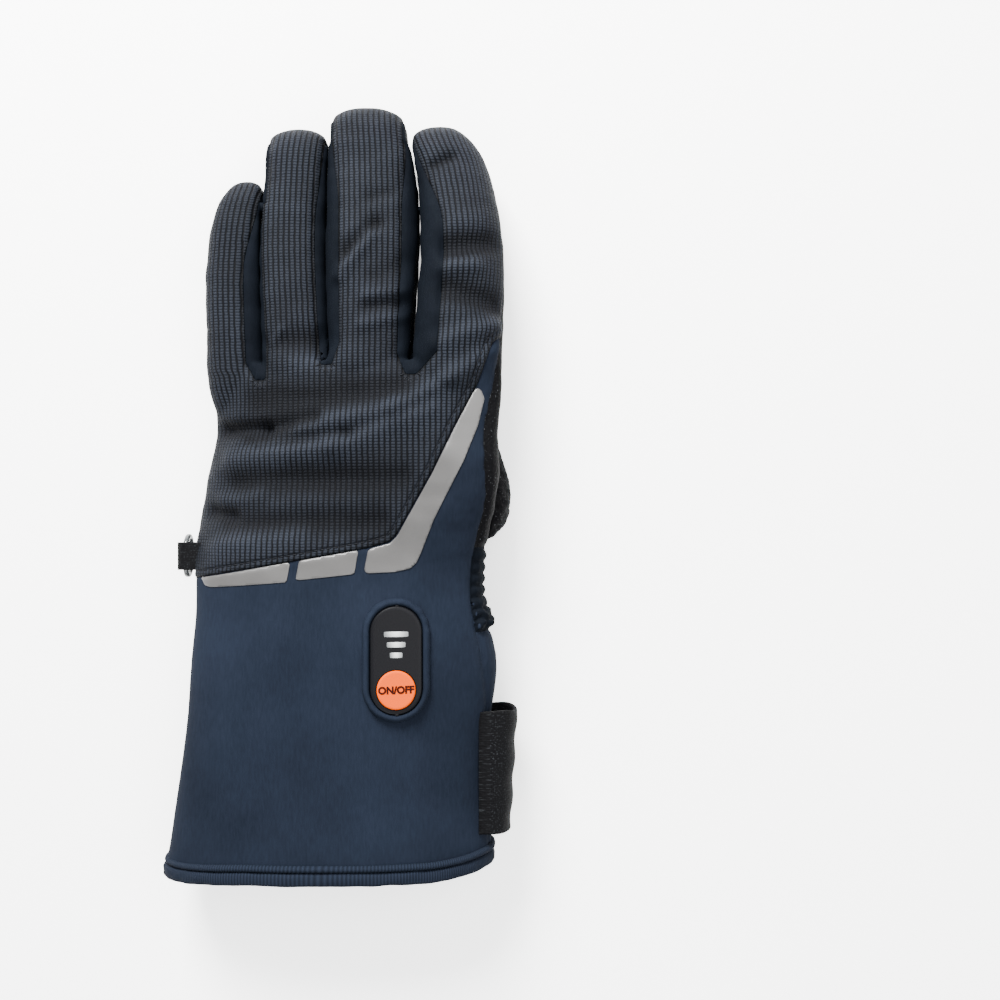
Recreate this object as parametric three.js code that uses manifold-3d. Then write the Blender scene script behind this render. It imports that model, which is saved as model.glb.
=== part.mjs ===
// Heated glove for the left hand, lying palm down with its thumb folded under the palm.
// Sewn panels make one hollow shell: a smooth gauntlet cuff, a ribbed back, rough palm and fourchettes.
// Millimetres, +Z up, +Y towards the fingertips, +X towards the thumb, y = 0 at the wrist line.
import * as THREE from "three";
import { mergeVertices } from "three/addons/utils/BufferGeometryUtils.js";
import Module from "manifold-3d";

const wasm = await Module();
wasm.setup();

// Main sizes of the shell
const CUFF_LENGTH = 102.5;
const HAND_LENGTH = 98;
const REACH = 108;
const CUFF_WIDTH = 131;
const HAND_WIDTH = 118;
const CUFF_HEIGHT = 44;
const HAND_HEIGHT = 44;
const WALL = 3;
const CLEARANCE = 0.3;
const ROOT_BLEND = 22;
const SLOT_GAP = 0.8;
const SLOT_POINT = 5;
const SLOT_EDGE = 1.6;
const SLOT_TOP = 0.45;
const FOLD_WIDTH = 6.5;

// Thumb
const THUMB_LENGTH = 78;
const THUMB_WIDTH = 33;
const THUMB_THICKNESS = 17;

// Hem round the mouth of the cuff
const PIPING_WIDTH = 2.6;
const PIPING_PROUD = 1.1;
const BINDING_WIDTH = 5.6;
const BINDING_PROUD = 1.6;

// Reflective film
const FILM_THICKNESS = 0.6;
const FILM_WIDTH = 9;
const FILM_LEAN = 0.12;

// Controller
const CONTROLLER_LENGTH = 41.6;
const CONTROLLER_WIDTH = 20;
const CONTROLLER_DEPTH = 8;
const CONTROLLER_PROUD = 2.2;
const CONTROLLER_SIDE = 22;
const CONTROLLER_BACK = 15.5;
const CONTROLLER_ROUND = 0.8;
const WELT_WIDTH = 2.4;
const WELT_PROUD = 1.7;
const WELT_ROUND = 0.7;
const BUTTON_DIAMETER = 14.9;
const BUTTON_HEIGHT = 3.9;
const BUTTON_PROUD = 0.8;
const BUTTON_TRAVEL = 0.8;
const BUTTON_ROUND = 0.6;
const BUTTON_SHIFT = 0.5;
const BAR_WIDTH = 2;
const BAR_THICKNESS = 0.6;
const BAR_LENGTHS = [9.3, 7.1, 4.8];
const BAR_PITCH = 4;
const FIRST_BAR = 10;

// Webbing and the small clip
const STRAP_LENGTH = 48;
const STRAP_START = 38;
const STRAP_THICKNESS = 1.8;
const STRAP_BULGE = 10.5;
const STRAP_RISE = 20;
const STRAP_TAPER = 0.25;
const STRAP_ROOT = 9;
const STRAP_SQUARENESS = 0.7;
const TAB_WIDTH = 11;
const TAB_REACH = 6.6;
const TAB_THICKNESS = 1.2;
const CLIP_LENGTH = 16.4;
const CLIP_DROP = 10;
const CLIP_THICKNESS = 2;
const CLIP_BAR = 2.2;
const CLIP_PLACE = 23.5;
const CLIP_LIFT = 4.4;
const PULL_INSET = 12.5;
const PULL_HEIGHT = 8.5;
const PULL_LENGTH = 14;
const PULL_THICKNESS = 1.4;
const PULL_PROUD = 6;

// Steps of the faceted surfaces
const BODY_SIDES = 24;
const FINGER_SIDES = 12;
const CUFF_STEPS = 5;
const HAND_STEPS = 11;
const FINGER_STEPS = 6;
const SEAM_STEPS = 10;
const SLOT_STEPS = 4;
const FILM_STEPS = 5;
const STRAP_STEPS = 10;
const STRAP_PARTS = 3;

// Sections from the mouth to the wrist: reach to each side, height above and depth below the side seam,
// as shares of the cuff's length, width and height
const CUFF_SECTIONS = [
  { along: -1, left: 0.557, right: 0.443, up: 0.51, down: 0.5 },
  { along: -0.88, left: 0.542, right: 0.446, up: 0.52, down: 0.5 },
  { along: -0.65, left: 0.511, right: 0.44, up: 0.52, down: 0.5 },
  { along: -0.42, left: 0.49, right: 0.443, up: 0.52, down: 0.5 },
  { along: -0.18, left: 0.472, right: 0.462, up: 0.51, down: 0.5 },
];

// Sections from the wrist to the finger roots, as shares of the hand's length, width and height
const HAND_SECTIONS = [
  { along: 0, left: 0.51, right: 0.478, up: 0.49, down: 0.48 },
  { along: 0.12, left: 0.512, right: 0.466, up: 0.47, down: 0.46 },
  { along: 0.25, left: 0.52, right: 0.474, up: 0.45, down: 0.4 },
  { along: 0.37, left: 0.516, right: 0.494, up: 0.43, down: 0.3 },
  { along: 0.49, left: 0.5, right: 0.514, up: 0.41, down: 0.23 },
  { along: 0.61, left: 0.487, right: 0.524, up: 0.4, down: 0.22 },
  { along: 0.73, left: 0.462, right: 0.52, up: 0.38, down: 0.22 },
  { along: 0.86, left: 0.468, right: 0.528, up: 0.36, down: 0.22 },
  { along: 0.97, left: 0.474, right: 0.532, up: 0.33, down: 0.22 },
  { along: 1.03, left: 0.47, right: 0.528, up: 0.26, down: 0.18 },
];

// Side seam between back and palm: height at the middle line, slope to the thumb side, rise at that side
const SEAM = [
  { y: -1.0 * CUFF_LENGTH, height: 0.48 * CUFF_HEIGHT, slope: 0, rise: 0.08 * CUFF_HEIGHT },
  { y: -0.4 * CUFF_LENGTH, height: 0.48 * CUFF_HEIGHT, slope: 0, rise: 0.16 * CUFF_HEIGHT },
  { y: -0.2 * CUFF_LENGTH, height: 0.48 * CUFF_HEIGHT, slope: 0, rise: 0.26 * CUFF_HEIGHT },
  { y: 0, height: 0.48 * HAND_HEIGHT, slope: 0, rise: 0.26 * HAND_HEIGHT },
  { y: 0.2 * HAND_LENGTH, height: 0.48 * HAND_HEIGHT, slope: 0.03, rise: 0.23 * HAND_HEIGHT },
  { y: 0.45 * HAND_LENGTH, height: 0.49 * HAND_HEIGHT, slope: 0.16, rise: 0.18 * HAND_HEIGHT },
  { y: 0.65 * HAND_LENGTH, height: 0.5 * HAND_HEIGHT, slope: 0.195, rise: 0.2 * HAND_HEIGHT },
  { y: HAND_LENGTH, height: 0.49 * HAND_HEIGHT, slope: 0.18, rise: 0.17 * HAND_HEIGHT },
  { y: HAND_LENGTH + 0.3 * REACH, height: 0.46 * HAND_HEIGHT, slope: 0.15, rise: 0.12 * HAND_HEIGHT },
  { y: HAND_LENGTH + 0.55 * REACH, height: 0.4 * HAND_HEIGHT, slope: 0.11, rise: 0.06 * HAND_HEIGHT },
  { y: HAND_LENGTH + 0.8 * REACH, height: 0.31 * HAND_HEIGHT, slope: 0.04, rise: 0 },
  { y: HAND_LENGTH + 1.05 * REACH, height: 0.27 * HAND_HEIGHT, slope: 0.01, rise: 0 },
];

// Fingers: length from the roots, width, thickness, length of the round tip, and the seams of the ribbed
// back as shares of half the width
// Their axes drift sideways, and their widths change, from root to tip, in shares of the length
const FINGERS = [
  {
    name: "little", length: 0.731 * REACH, rounding: 0.194 * REACH,
    width: 0.195 * HAND_WIDTH, thickness: 0.523 * HAND_HEIGHT,
    leftSeam: -1, rightSeam: 0.45,
    axis: [
      { along: 0, side: -0.388 * HAND_WIDTH, width: 1.04 },
      { along: 0.5, side: -0.395 * HAND_WIDTH, width: 1 },
      { along: 0.8, side: -0.379 * HAND_WIDTH, width: 0.93 },
      { along: 1, side: -0.358 * HAND_WIDTH, width: 0.86 },
    ],
  },
  {
    name: "ring", length: 0.926 * REACH, rounding: 0.13 * REACH,
    width: 0.229 * HAND_WIDTH, thickness: 0.568 * HAND_HEIGHT,
    leftSeam: -0.84, rightSeam: 0.72,
    axis: [
      { along: 0, side: -0.17 * HAND_WIDTH, width: 1 },
      { along: 0.5, side: -0.188 * HAND_WIDTH, width: 1.01 },
      { along: 0.8, side: -0.183 * HAND_WIDTH, width: 1 },
      { along: 1, side: -0.172 * HAND_WIDTH, width: 0.98 },
    ],
  },
  {
    name: "middle", length: REACH, rounding: 0.111 * REACH,
    width: 0.301 * HAND_WIDTH, thickness: 0.614 * HAND_HEIGHT,
    leftSeam: -0.68, rightSeam: 0.68,
    axis: [
      { along: 0, side: 0.086 * HAND_WIDTH, width: 0.93 },
      { along: 0.5, side: 0.089 * HAND_WIDTH, width: 1.03 },
      { along: 0.8, side: 0.08 * HAND_WIDTH, width: 0.99 },
      { along: 1, side: 0.068 * HAND_WIDTH, width: 0.93 },
    ],
  },
  {
    name: "index", length: 0.926 * REACH, rounding: 0.13 * REACH,
    width: 0.28 * HAND_WIDTH, thickness: 0.614 * HAND_HEIGHT,
    leftSeam: -0.44, rightSeam: 1,
    axis: [
      { along: 0, side: 0.385 * HAND_WIDTH, width: 1.05 },
      { along: 0.5, side: 0.4 * HAND_WIDTH, width: 0.99 },
      { along: 0.8, side: 0.365 * HAND_WIDTH, width: 0.9 },
      { along: 1, side: 0.312 * HAND_WIDTH, width: 0.82 },
    ],
  },
];

// Thumb: place along its length, side, and height of its middle, width and thickness in shares of its own
const THUMB_ROOT = 0.27 * HAND_LENGTH;
const THUMB = [
  { along: 0, side: 0.4 * HAND_WIDTH, height: 1.45, width: 0.35, thickness: 0.5 },
  { along: 0.08, side: 0.405 * HAND_WIDTH, height: 1.2, width: 0.8, thickness: 1.1 },
  { along: 0.19, side: 0.415 * HAND_WIDTH, height: 0.88, width: 1.02, thickness: 1.5 },
  { along: 0.32, side: 0.415 * HAND_WIDTH, height: 0.68, width: 1.03, thickness: 1.36 },
  { along: 0.48, side: 0.395 * HAND_WIDTH, height: 0.52, width: 0.98, thickness: 1.04 },
  { along: 0.66, side: 0.356 * HAND_WIDTH, height: 0.5, width: 0.92, thickness: 1 },
  { along: 0.83, side: 0.322 * HAND_WIDTH, height: 0.48, width: 0.84, thickness: 0.96 },
  { along: 0.94, side: 0.3 * HAND_WIDTH, height: 0.46, width: 0.62, thickness: 0.8 },
  { along: 1, side: 0.292 * HAND_WIDTH, height: 0.45, width: 0.3, thickness: 0.5 },
];

// Lower edge of the ribbed back, from the little finger's side round the corner to the index finger
const RIB_EDGE = [
  { side: -0.7 * HAND_WIDTH, y: 0.13 * HAND_LENGTH },
  { side: -0.5 * HAND_WIDTH, y: 0.155 * HAND_LENGTH },
  { side: -0.17 * HAND_WIDTH, y: 0.224 * HAND_LENGTH },
  { side: 0.092 * HAND_WIDTH, y: 0.281 * HAND_LENGTH },
  { side: 0.164 * HAND_WIDTH, y: 0.305 * HAND_LENGTH },
  { side: 0.188 * HAND_WIDTH, y: 0.335 * HAND_LENGTH },
  { side: 0.306 * HAND_WIDTH, y: 0.584 * HAND_LENGTH },
  { side: 0.381 * HAND_WIDTH, y: 0.77 * HAND_LENGTH },
  { side: 0.453 * HAND_WIDTH, y: 0.932 * HAND_LENGTH },
  { side: 0.5 * HAND_WIDTH, y: 1.09 * HAND_LENGTH },
  { side: 0.62 * HAND_WIDTH, y: 1.2 * HAND_LENGTH },
];

// Outlines of the reflective film, corner by corner, anticlockwise
const FILM_LONG = [
  { side: 0.094 * HAND_WIDTH, y: 0.275 * HAND_LENGTH },
  { side: 0.076 * HAND_WIDTH, y: 0.178 * HAND_LENGTH },
  { side: 0.2 * HAND_WIDTH, y: 0.197 * HAND_LENGTH },
  { side: 0.24 * HAND_WIDTH, y: 0.24 * HAND_LENGTH },
  { side: 0.31 * HAND_WIDTH, y: 0.4 * HAND_LENGTH },
  { side: 0.41 * HAND_WIDTH, y: 0.64 * HAND_LENGTH },
  { side: 0.448 * HAND_WIDTH, y: 0.77 * HAND_LENGTH },
  { side: 0.468 * HAND_WIDTH, y: 0.87 * HAND_LENGTH },
  { side: 0.453 * HAND_WIDTH, y: 0.92 * HAND_LENGTH },
  { side: 0.381 * HAND_WIDTH, y: 0.758 * HAND_LENGTH },
  { side: 0.306 * HAND_WIDTH, y: 0.572 * HAND_LENGTH },
  { side: 0.192 * HAND_WIDTH, y: 0.327 * HAND_LENGTH },
  { side: 0.166 * HAND_WIDTH, y: 0.297 * HAND_LENGTH },
];

// Bands of film below the ribbed edge: ends and widths in shares of the hand's and the film's width
const FILM_BANDS = [
  { name: "reflector_middle", from: -0.145, to: 0.068, fromWidth: 0.78, toWidth: 1.05 },
  { name: "reflector_side", from: -0.465, to: -0.175, fromWidth: 0.4, toWidth: 0.86 },
];

// Folds of the hand: a dip along a straight run, in shares of the hand's width, length and height
const HAND_FOLDS = [
  { x1: -0.5, y1: 0.77, x2: -0.18, y2: 0.76, depth: 0.06 },
  { x1: -0.18, y1: 0.76, x2: 0.1, y2: 0.82, depth: 0.03 },
  { x1: -0.46, y1: 0.51, x2: 0.05, y2: 0.56, depth: 0.05 },
  { x1: -0.46, y1: 0.37, x2: -0.13, y2: 0.4, depth: 0.04 },
];

// Folds of the fingers, with their places from the finger roots in shares of the reach
const FINGER_FOLDS = [
  { x1: 0, y1: 0.44, x2: 0.11, y2: 0.54, depth: 0.05 },
  { x1: 0.35, y1: 0.45, x2: 0.48, y2: 0.42, depth: 0.05 },
  { x1: 0.34, y1: 0.3, x2: 0.53, y2: 0.21, depth: 0.03 },
];

// Squareness of the sections above and below the seam
const UPPER_POWER = 2.4;
const LOWER_POWER = 3;
const FINGER_POWER = 2.7;
const TIP_POWER = 2.5;

// How far a round tip has turned in at each of its last sections
const TIP_SHARES = [0.45, 0.75, 0.95];

// The height far above and below everything, for cutting prisms
const FAR = 90;

// Sections with their lengths worked out
function sized(rows, length, width, height) {
  return rows.map((row) => ({
    y: row.along * length,
    left: row.left * width,
    right: row.right * width,
    up: row.up * height,
    down: row.down * height,
  }));
}

// Folds with their lengths worked out, from a start along +Y
function placedFolds(rows, start, length) {
  return rows.map((row) => ({
    from: new THREE.Vector2(row.x1 * HAND_WIDTH, start + row.y1 * length),
    to: new THREE.Vector2(row.x2 * HAND_WIDTH, start + row.y2 * length),
    depth: row.depth * HAND_HEIGHT,
  }));
}

const BODY = [
  ...sized(CUFF_SECTIONS, CUFF_LENGTH, CUFF_WIDTH, CUFF_HEIGHT),
  ...sized(HAND_SECTIONS, HAND_LENGTH, HAND_WIDTH, HAND_HEIGHT),
];
const FOLDS = [
  ...placedFolds(HAND_FOLDS, 0, HAND_LENGTH),
  ...placedFolds(FINGER_FOLDS, HAND_LENGTH, REACH),
];

// Reads a column of a table at a place, on a smooth curve through its rows
function read(rows, place, key, column) {
  const last = rows.length - 1;
  let i = 0;
  while (i < last - 1 && rows[i + 1][key] < place) i += 1;
  const before = rows[Math.max(i - 1, 0)];
  const from = rows[i];
  const to = rows[i + 1];
  const after = rows[Math.min(i + 2, last)];
  const span = to[key] - from[key];
  const t = THREE.MathUtils.clamp((place - from[key]) / span, 0, 1);
  const startSlope = before === from ? 0 : ((to[column] - before[column]) / (to[key] - before[key])) * span;
  const endSlope = after === to ? 0 : ((after[column] - from[column]) / (after[key] - from[key])) * span;
  const rise = to[column] - from[column];
  return (
    from[column] +
    startSlope * t +
    (3 * rise - 2 * startSlope - endSlope) * t * t +
    (startSlope + endSlope - 2 * rise) * t * t * t
  );
}

// Reaches of the section at a place
function sectionAt(y) {
  const column = (name) => read(BODY, y, "y", name);
  return { left: column("left"), right: column("right"), up: column("up"), down: column("down") };
}

// Height of the middle of the section at a point, which the fingers follow too
function middleHeight(x, y) {
  return read(SEAM, y, "y", "height") + x * read(SEAM, y, "y", "slope");
}

// Height of the side seam, which rises towards the thumb
function seamHeight(x, y) {
  const share = THREE.MathUtils.clamp(0.5 + x / HAND_WIDTH, 0, 1);
  return middleHeight(x, y) + share * read(SEAM, y, "y", "rise");
}

// How far the folds lower the surface at a point
function foldDepth(x, y) {
  let depth = 0;
  for (const fold of FOLDS) {
    const run = fold.to.clone().sub(fold.from);
    const offset = new THREE.Vector2(x, y).sub(fold.from);
    const share = THREE.MathUtils.clamp(offset.dot(run) / run.lengthSq(), 0, 1);
    const away = offset.addScaledVector(run, -share).length() / FOLD_WIDTH;
    depth += fold.depth * Math.exp(-away * away);
  }
  return depth;
}

// One closed ring of a section, square to +Y: half width, height above and depth below its middle
function ring(y, centre, half, up, down, sides, upperPower, lowerPower, height) {
  const points = [];
  for (let i = 0; i < sides; i += 1) {
    const angle = (2 * Math.PI * i) / sides;
    const c = Math.cos(angle);
    const s = Math.sin(angle);
    const power = 2 / (s >= 0 ? upperPower : lowerPower);
    const x = centre + half * Math.sign(c) * Math.abs(c) ** power;
    const reach = Math.sign(s) * Math.abs(s) ** power * (s >= 0 ? up : down);
    const sink = s > 0 ? s * foldDepth(x, y) : 0;
    points.push(new THREE.Vector3(x, y, height(x, y) + reach - sink));
  }
  return points;
}

// A closed solid through rings that follow each other along +Y
function loft(rings) {
  const sides = rings[0].length;
  const centres = [rings[0], rings.at(-1)].map((points) =>
    points.reduce((sum, p) => sum.add(p), new THREE.Vector3()).divideScalar(sides),
  );
  const vertices = [...rings.flat(), ...centres];
  const start = vertices.length - 2;
  const lastRing = (rings.length - 1) * sides;
  const index = [];
  for (let i = 0; i < sides; i += 1) {
    const next = (i + 1) % sides;
    for (let row = 0; row < lastRing; row += sides) {
      index.push(row + i, row + sides + i, row + next);
      index.push(row + next, row + sides + i, row + sides + next);
    }
    index.push(start, i, next, start + 1, lastRing + next, lastRing + i);
  }
  const geometry = new THREE.BufferGeometry().setFromPoints(vertices);
  geometry.setIndex(index);
  return solid(geometry);
}

// Turns a three.js geometry into a solid that can be joined and cut
function solid(geometry) {
  const bare = geometry.clone();
  bare.deleteAttribute("normal");
  bare.deleteAttribute("uv");
  const merged = mergeVertices(bare, 1e-4);
  const vertProperties = new Float32Array(merged.attributes.position.array);
  const triVerts = new Uint32Array(merged.index.array);
  return new wasm.Manifold(new wasm.Mesh({ numProp: 3, vertProperties, triVerts }));
}

// The largest of the bodies in a solid, without crumbs that a cut leaves
function main(shape) {
  return shape.decompose().reduce((best, body) => (body.volume() > best.volume() ? body : best));
}

// A joined solid of several
function join(shapes) {
  return shapes.reduce((sum, shape) => sum.add(shape));
}

// A box between two corners
function block(x1, y1, z1, x2, y2, z2) {
  const geometry = new THREE.BoxGeometry(x2 - x1, y2 - y1, z2 - z1);
  return solid(geometry.translate((x1 + x2) / 2, (y1 + y2) / 2, (z1 + z2) / 2));
}

// The outline moved outwards by a distance
function widened(points, distance) {
  return points.map((point, i) => {
    const into = point.clone().sub(points.at(i - 1)).normalize();
    const out = points[(i + 1) % points.length].clone().sub(point).normalize();
    const normal = new THREE.Vector2(into.y + out.y, -into.x - out.x).normalize();
    const stretch = Math.max(0.5, normal.x * into.y - normal.y * into.x);
    return point.clone().addScaledVector(normal, distance / stretch);
  });
}

// An upright prism over an anticlockwise outline
function prism(points, low = -FAR, high = FAR) {
  const options = { depth: high - low, bevelEnabled: false };
  const geometry = new THREE.ExtrudeGeometry(new THREE.Shape(points), options);
  return solid(geometry.translate(0, 0, low));
}

// Outline points from table rows
function outline(rows) {
  return rows.map((row) => new THREE.Vector2(row.side, row.y));
}

// Cuff and hand, grown or shrunk by an offset. The start is the mouth and the end lies between the fingers
function bodySolid(offset, mouth = 0) {
  const stations = [];
  for (let i = 0; i <= CUFF_STEPS; i += 1) stations.push(-CUFF_LENGTH * (1 - i / CUFF_STEPS));
  const end = BODY.at(-1).y;
  for (let i = 1; i <= HAND_STEPS; i += 1) stations.push((end * i) / HAND_STEPS);
  const rings = stations.map((y, i) => {
    const { left, right, up, down } = sectionAt(y);
    const centre = (right - left) / 2;
    const place = y + (i === 0 ? -mouth : 0) + (i === stations.length - 1 ? offset : 0);
    const half = (left + right) / 2 + offset;
    const points = ring(
      y, centre, half, up + offset, down + offset, BODY_SIDES, UPPER_POWER, LOWER_POWER, middleHeight,
    );
    return points.map((p) => p.setY(place));
  });
  return loft(rings);
}

// Middle line and half width of a finger at a place
function fingerAt(finger, y) {
  const along = (y - HAND_LENGTH) / finger.length;
  return {
    side: read(finger.axis, along, "along", "side"),
    half: (read(finger.axis, along, "along", "width") * finger.width) / 2,
  };
}

// A finger with a blunt round tip, grown or shrunk by an offset
function fingerSolid(finger, offset) {
  const tip = HAND_LENGTH + finger.length;
  const start = HAND_LENGTH - ROOT_BLEND;
  const shoulder = tip - finger.rounding;
  const stations = [];
  for (let i = 0; i < FINGER_STEPS; i += 1) {
    stations.push(start + ((shoulder - start) * i) / (FINGER_STEPS - 1));
  }
  for (const share of TIP_SHARES) stations.push(shoulder + finger.rounding * share);
  const rings = stations.map((y) => {
    const share = Math.max(0, (y - shoulder) / finger.rounding);
    const grown = THREE.MathUtils.smoothstep(y, start - ROOT_BLEND, start + ROOT_BLEND);
    const round = grown * (1 - share ** TIP_POWER) ** (1 / TIP_POWER);
    const { side, half } = fingerAt(finger, y);
    const reach = half * round + offset;
    const depth = (finger.thickness / 2) * round + offset;
    const place = y > shoulder ? y + offset : y;
    const points = ring(
      y, side, reach, depth, depth, FINGER_SIDES, FINGER_POWER, FINGER_POWER, () => middleHeight(side, y),
    );
    return points.map((p) => p.setY(place));
  });
  return loft(rings);
}

// Cuff, hand and fingers in one
function handSolid(offset, mouth = 0) {
  return join([bodySolid(offset, mouth), ...FINGERS.map((finger) => fingerSolid(finger, offset))]);
}

// The thumb lies under the palm and opens into it
function thumbSolid(offset) {
  const rings = THUMB.map((row, i) => {
    const end = i === THUMB.length - 1 ? offset : 0;
    const half = (row.width * THUMB_WIDTH) / 2 + offset;
    const depth = (row.thickness * THUMB_THICKNESS) / 2 + offset;
    const y = THUMB_ROOT + row.along * THUMB_LENGTH + end;
    const height = () => row.height * THUMB_THICKNESS;
    return ring(y, row.side, half, depth, depth, FINGER_SIDES, FINGER_POWER, FINGER_POWER, height);
  });
  return loft(rings);
}

// Everything above the floor, or above a layer on it
function above(z) {
  return block(-2 * CUFF_WIDTH, -2 * CUFF_LENGTH, z, 2 * CUFF_WIDTH, HAND_LENGTH + 2 * REACH, z + 2 * FAR);
}

// The space above the side seam, raised or lowered by an offset
function spaceAboveSeam(offset) {
  const stations = [-CUFF_LENGTH - WALL - BINDING_WIDTH];
  const run = CUFF_LENGTH + HAND_LENGTH + 1.1 * REACH;
  for (let i = 0; i <= SEAM_STEPS; i += 1) stations.push(-CUFF_LENGTH + (run * i) / SEAM_STEPS);
  const rings = stations.map((y) => {
    const slope = read(SEAM, y, "y", "slope");
    const edge = HAND_WIDTH / 2;
    const beyond = CUFF_WIDTH - edge;
    const left = seamHeight(-edge, y) + offset;
    const right = seamHeight(edge, y) + offset;
    return [
      new THREE.Vector3(CUFF_WIDTH, y, right + beyond * slope),
      new THREE.Vector3(CUFF_WIDTH, y, FAR),
      new THREE.Vector3(-CUFF_WIDTH, y, FAR),
      new THREE.Vector3(-CUFF_WIDTH, y, left - beyond * slope),
      new THREE.Vector3(-edge, y, left),
      new THREE.Vector3(edge, y, right),
    ];
  });
  return loft(rings);
}

// The line between two neighbouring fingers
function slotLine(left, right, y) {
  const a = fingerAt(left, Math.min(y, HAND_LENGTH + left.length));
  const b = fingerAt(right, y);
  return (a.side + a.half + b.side - b.half) / 2;
}

// A thin curtain that parts two fingers
function slotCurtain(left, right) {
  const start = BODY.at(-1).y;
  const end = HAND_LENGTH + REACH + WALL;
  const line = [];
  for (let i = 0; i <= SLOT_STEPS; i += 1) {
    const y = start + ((end - start) * i) / SLOT_STEPS;
    line.push(new THREE.Vector2(slotLine(left, right, y), y));
  }
  const near = line.map((p) => new THREE.Vector2(p.x + SLOT_GAP / 2, p.y));
  const far = line.map((p) => new THREE.Vector2(p.x - SLOT_GAP / 2, p.y)).reverse();
  return prism([...near, ...far]);
}

// Outline of the smooth strip between two fingers, seen from above
function fourchetteOutline(left, right) {
  const steps = SLOT_STEPS + 1;
  const edge = (finger, share, top) => {
    const points = [];
    for (let i = 1; i <= steps; i += 1) {
      const y = HAND_LENGTH + SLOT_POINT + ((top - HAND_LENGTH - SLOT_POINT) * i) / steps;
      const { side, half } = fingerAt(finger, y);
      const closing = THREE.MathUtils.smoothstep(i / steps, 0.6, 1);
      const closed = slotLine(left, right, y) - Math.sign(share) * SLOT_EDGE;
      points.push(new THREE.Vector2(THREE.MathUtils.lerp(side + share * half, closed, closing), y));
    }
    return points;
  };
  const leftTop = HAND_LENGTH + left.length - SLOT_TOP * left.rounding;
  const rightTop = HAND_LENGTH + right.length - SLOT_TOP * right.rounding;
  const bottom = new THREE.Vector2(slotLine(left, right, HAND_LENGTH), HAND_LENGTH - SLOT_POINT);
  const crossing = [rightTop, leftTop].map((y) => new THREE.Vector2(slotLine(left, right, y), y));
  const rightEdge = edge(right, right.leftSeam, rightTop);
  const leftEdge = edge(left, left.rightSeam, leftTop).reverse();
  return [bottom, ...rightEdge, ...crossing, ...leftEdge];
}

// Solids of the hollow shell
const outer = handSolid(0).intersect(above(0));
const inner = handSolid(-WALL, BINDING_WIDTH + WALL);
const thumbInner = thumbSolid(-WALL);
const hollow = join([inner, thumbInner]).intersect(above(WALL));
const curtains = FINGERS.slice(1).map((finger, i) => slotCurtain(FINGERS[i], finger));
const shell = outer.subtract(hollow).subtract(join(curtains));

// Cutting regions
const aboveSeam = spaceAboveSeam(CLEARANCE / 2);
const fourchettes = FINGERS.slice(1).map((finger, i) => fourchetteOutline(FINGERS[i], finger));
const cutForFourchettes = join(fourchettes.map((points) => prism(widened(points, CLEARANCE / 2))));

// The part of the plan on the cuff's side of the ribbed edge
function cuffOutline() {
  const corner = (side, y) => new THREE.Vector2(side * CUFF_WIDTH, y);
  const below = -1.2 * CUFF_LENGTH;
  const right = [corner(-1, below), corner(1, below), corner(1, RIB_EDGE.at(-1).y)];
  return [...right, ...outline(RIB_EDGE).reverse(), corner(-1, RIB_EDGE[0].y)];
}

// Slices across the glove between two places
function slice(from, to) {
  return block(-2 * CUFF_WIDTH, from, -FAR, 2 * CUFF_WIDTH, to, FAR);
}

// Hem rings thicker than the wall, flat where they rest
function hemRing(from, to, proud) {
  const thick = bodySolid(proud, BINDING_WIDTH + WALL);
  const bore = bodySolid(-WALL, 2 * BINDING_WIDTH + WALL).intersect(above(WALL));
  return thick.subtract(bore).intersect(above(0)).intersect(slice(from, to));
}

// Places of the pieces across the glove
const MOUTH = -CUFF_LENGTH;
const BINDING_END = MOUTH + BINDING_WIDTH;
const PIPING_START = BINDING_END + CLEARANCE;
const PIPING_END = PIPING_START + PIPING_WIDTH;
const PANEL_START = PIPING_END + CLEARANCE;
const ELASTIC_START = -0.06 * CUFF_LENGTH;
const ELASTIC_END = 0.28 * HAND_LENGTH;

// The face of the cuff's back at a point
function surfaceHeight(x, y) {
  const { left, right, up } = sectionAt(y);
  const share = Math.abs((x - (right - left) / 2) / ((right + left) / 2));
  return middleHeight(x, y) + up * (1 - share ** UPPER_POWER) ** (1 / UPPER_POWER);
}

// A stadium outline along Y
function stadium(width, length) {
  const radius = width / 2;
  const run = length / 2 - radius;
  const shape = new THREE.Shape();
  shape.absarc(0, run, radius, 0, Math.PI);
  shape.absarc(0, -run, radius, Math.PI, 2 * Math.PI);
  return shape;
}

// An extrusion between two heights, with an optional rounded edge
function plate(shape, low, high, bevel = 0, curveSegments = 6) {
  const options = {
    depth: high - low - bevel, bevelEnabled: bevel > 0, bevelThickness: bevel, bevelSize: bevel,
    bevelOffset: -bevel, bevelSegments: 2, curveSegments,
  };
  const geometry = new THREE.ExtrudeGeometry(shape, options).translate(0, 0, low);
  if (bevel === 0) return solid(geometry);
  const cut = block(-FAR, -FAR, low, FAR, FAR, high + 1);
  return solid(geometry).intersect(cut);
}

// A solid with a matrix applied to it
function placed(shape, matrix) {
  return shape.transform(matrix.elements);
}

// Where the controller sits on the cuff, turned to lie in its surface
function controllerFrame() {
  const x = CONTROLLER_SIDE;
  const y = -CONTROLLER_BACK;
  const step = CONTROLLER_WIDTH / 2;
  const slopeX = (surfaceHeight(x + step, y) - surfaceHeight(x - step, y)) / (2 * step);
  const slopeY = (surfaceHeight(x, y + step) - surfaceHeight(x, y - step)) / (2 * step);
  const up = new THREE.Vector3(-slopeX, -slopeY, 1).normalize();
  const across = new THREE.Vector3(1, 0, slopeX).normalize();
  const along = up.clone().cross(across);
  return new THREE.Matrix4().makeBasis(across, along, up).setPosition(x, y, surfaceHeight(x, y));
}

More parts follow.
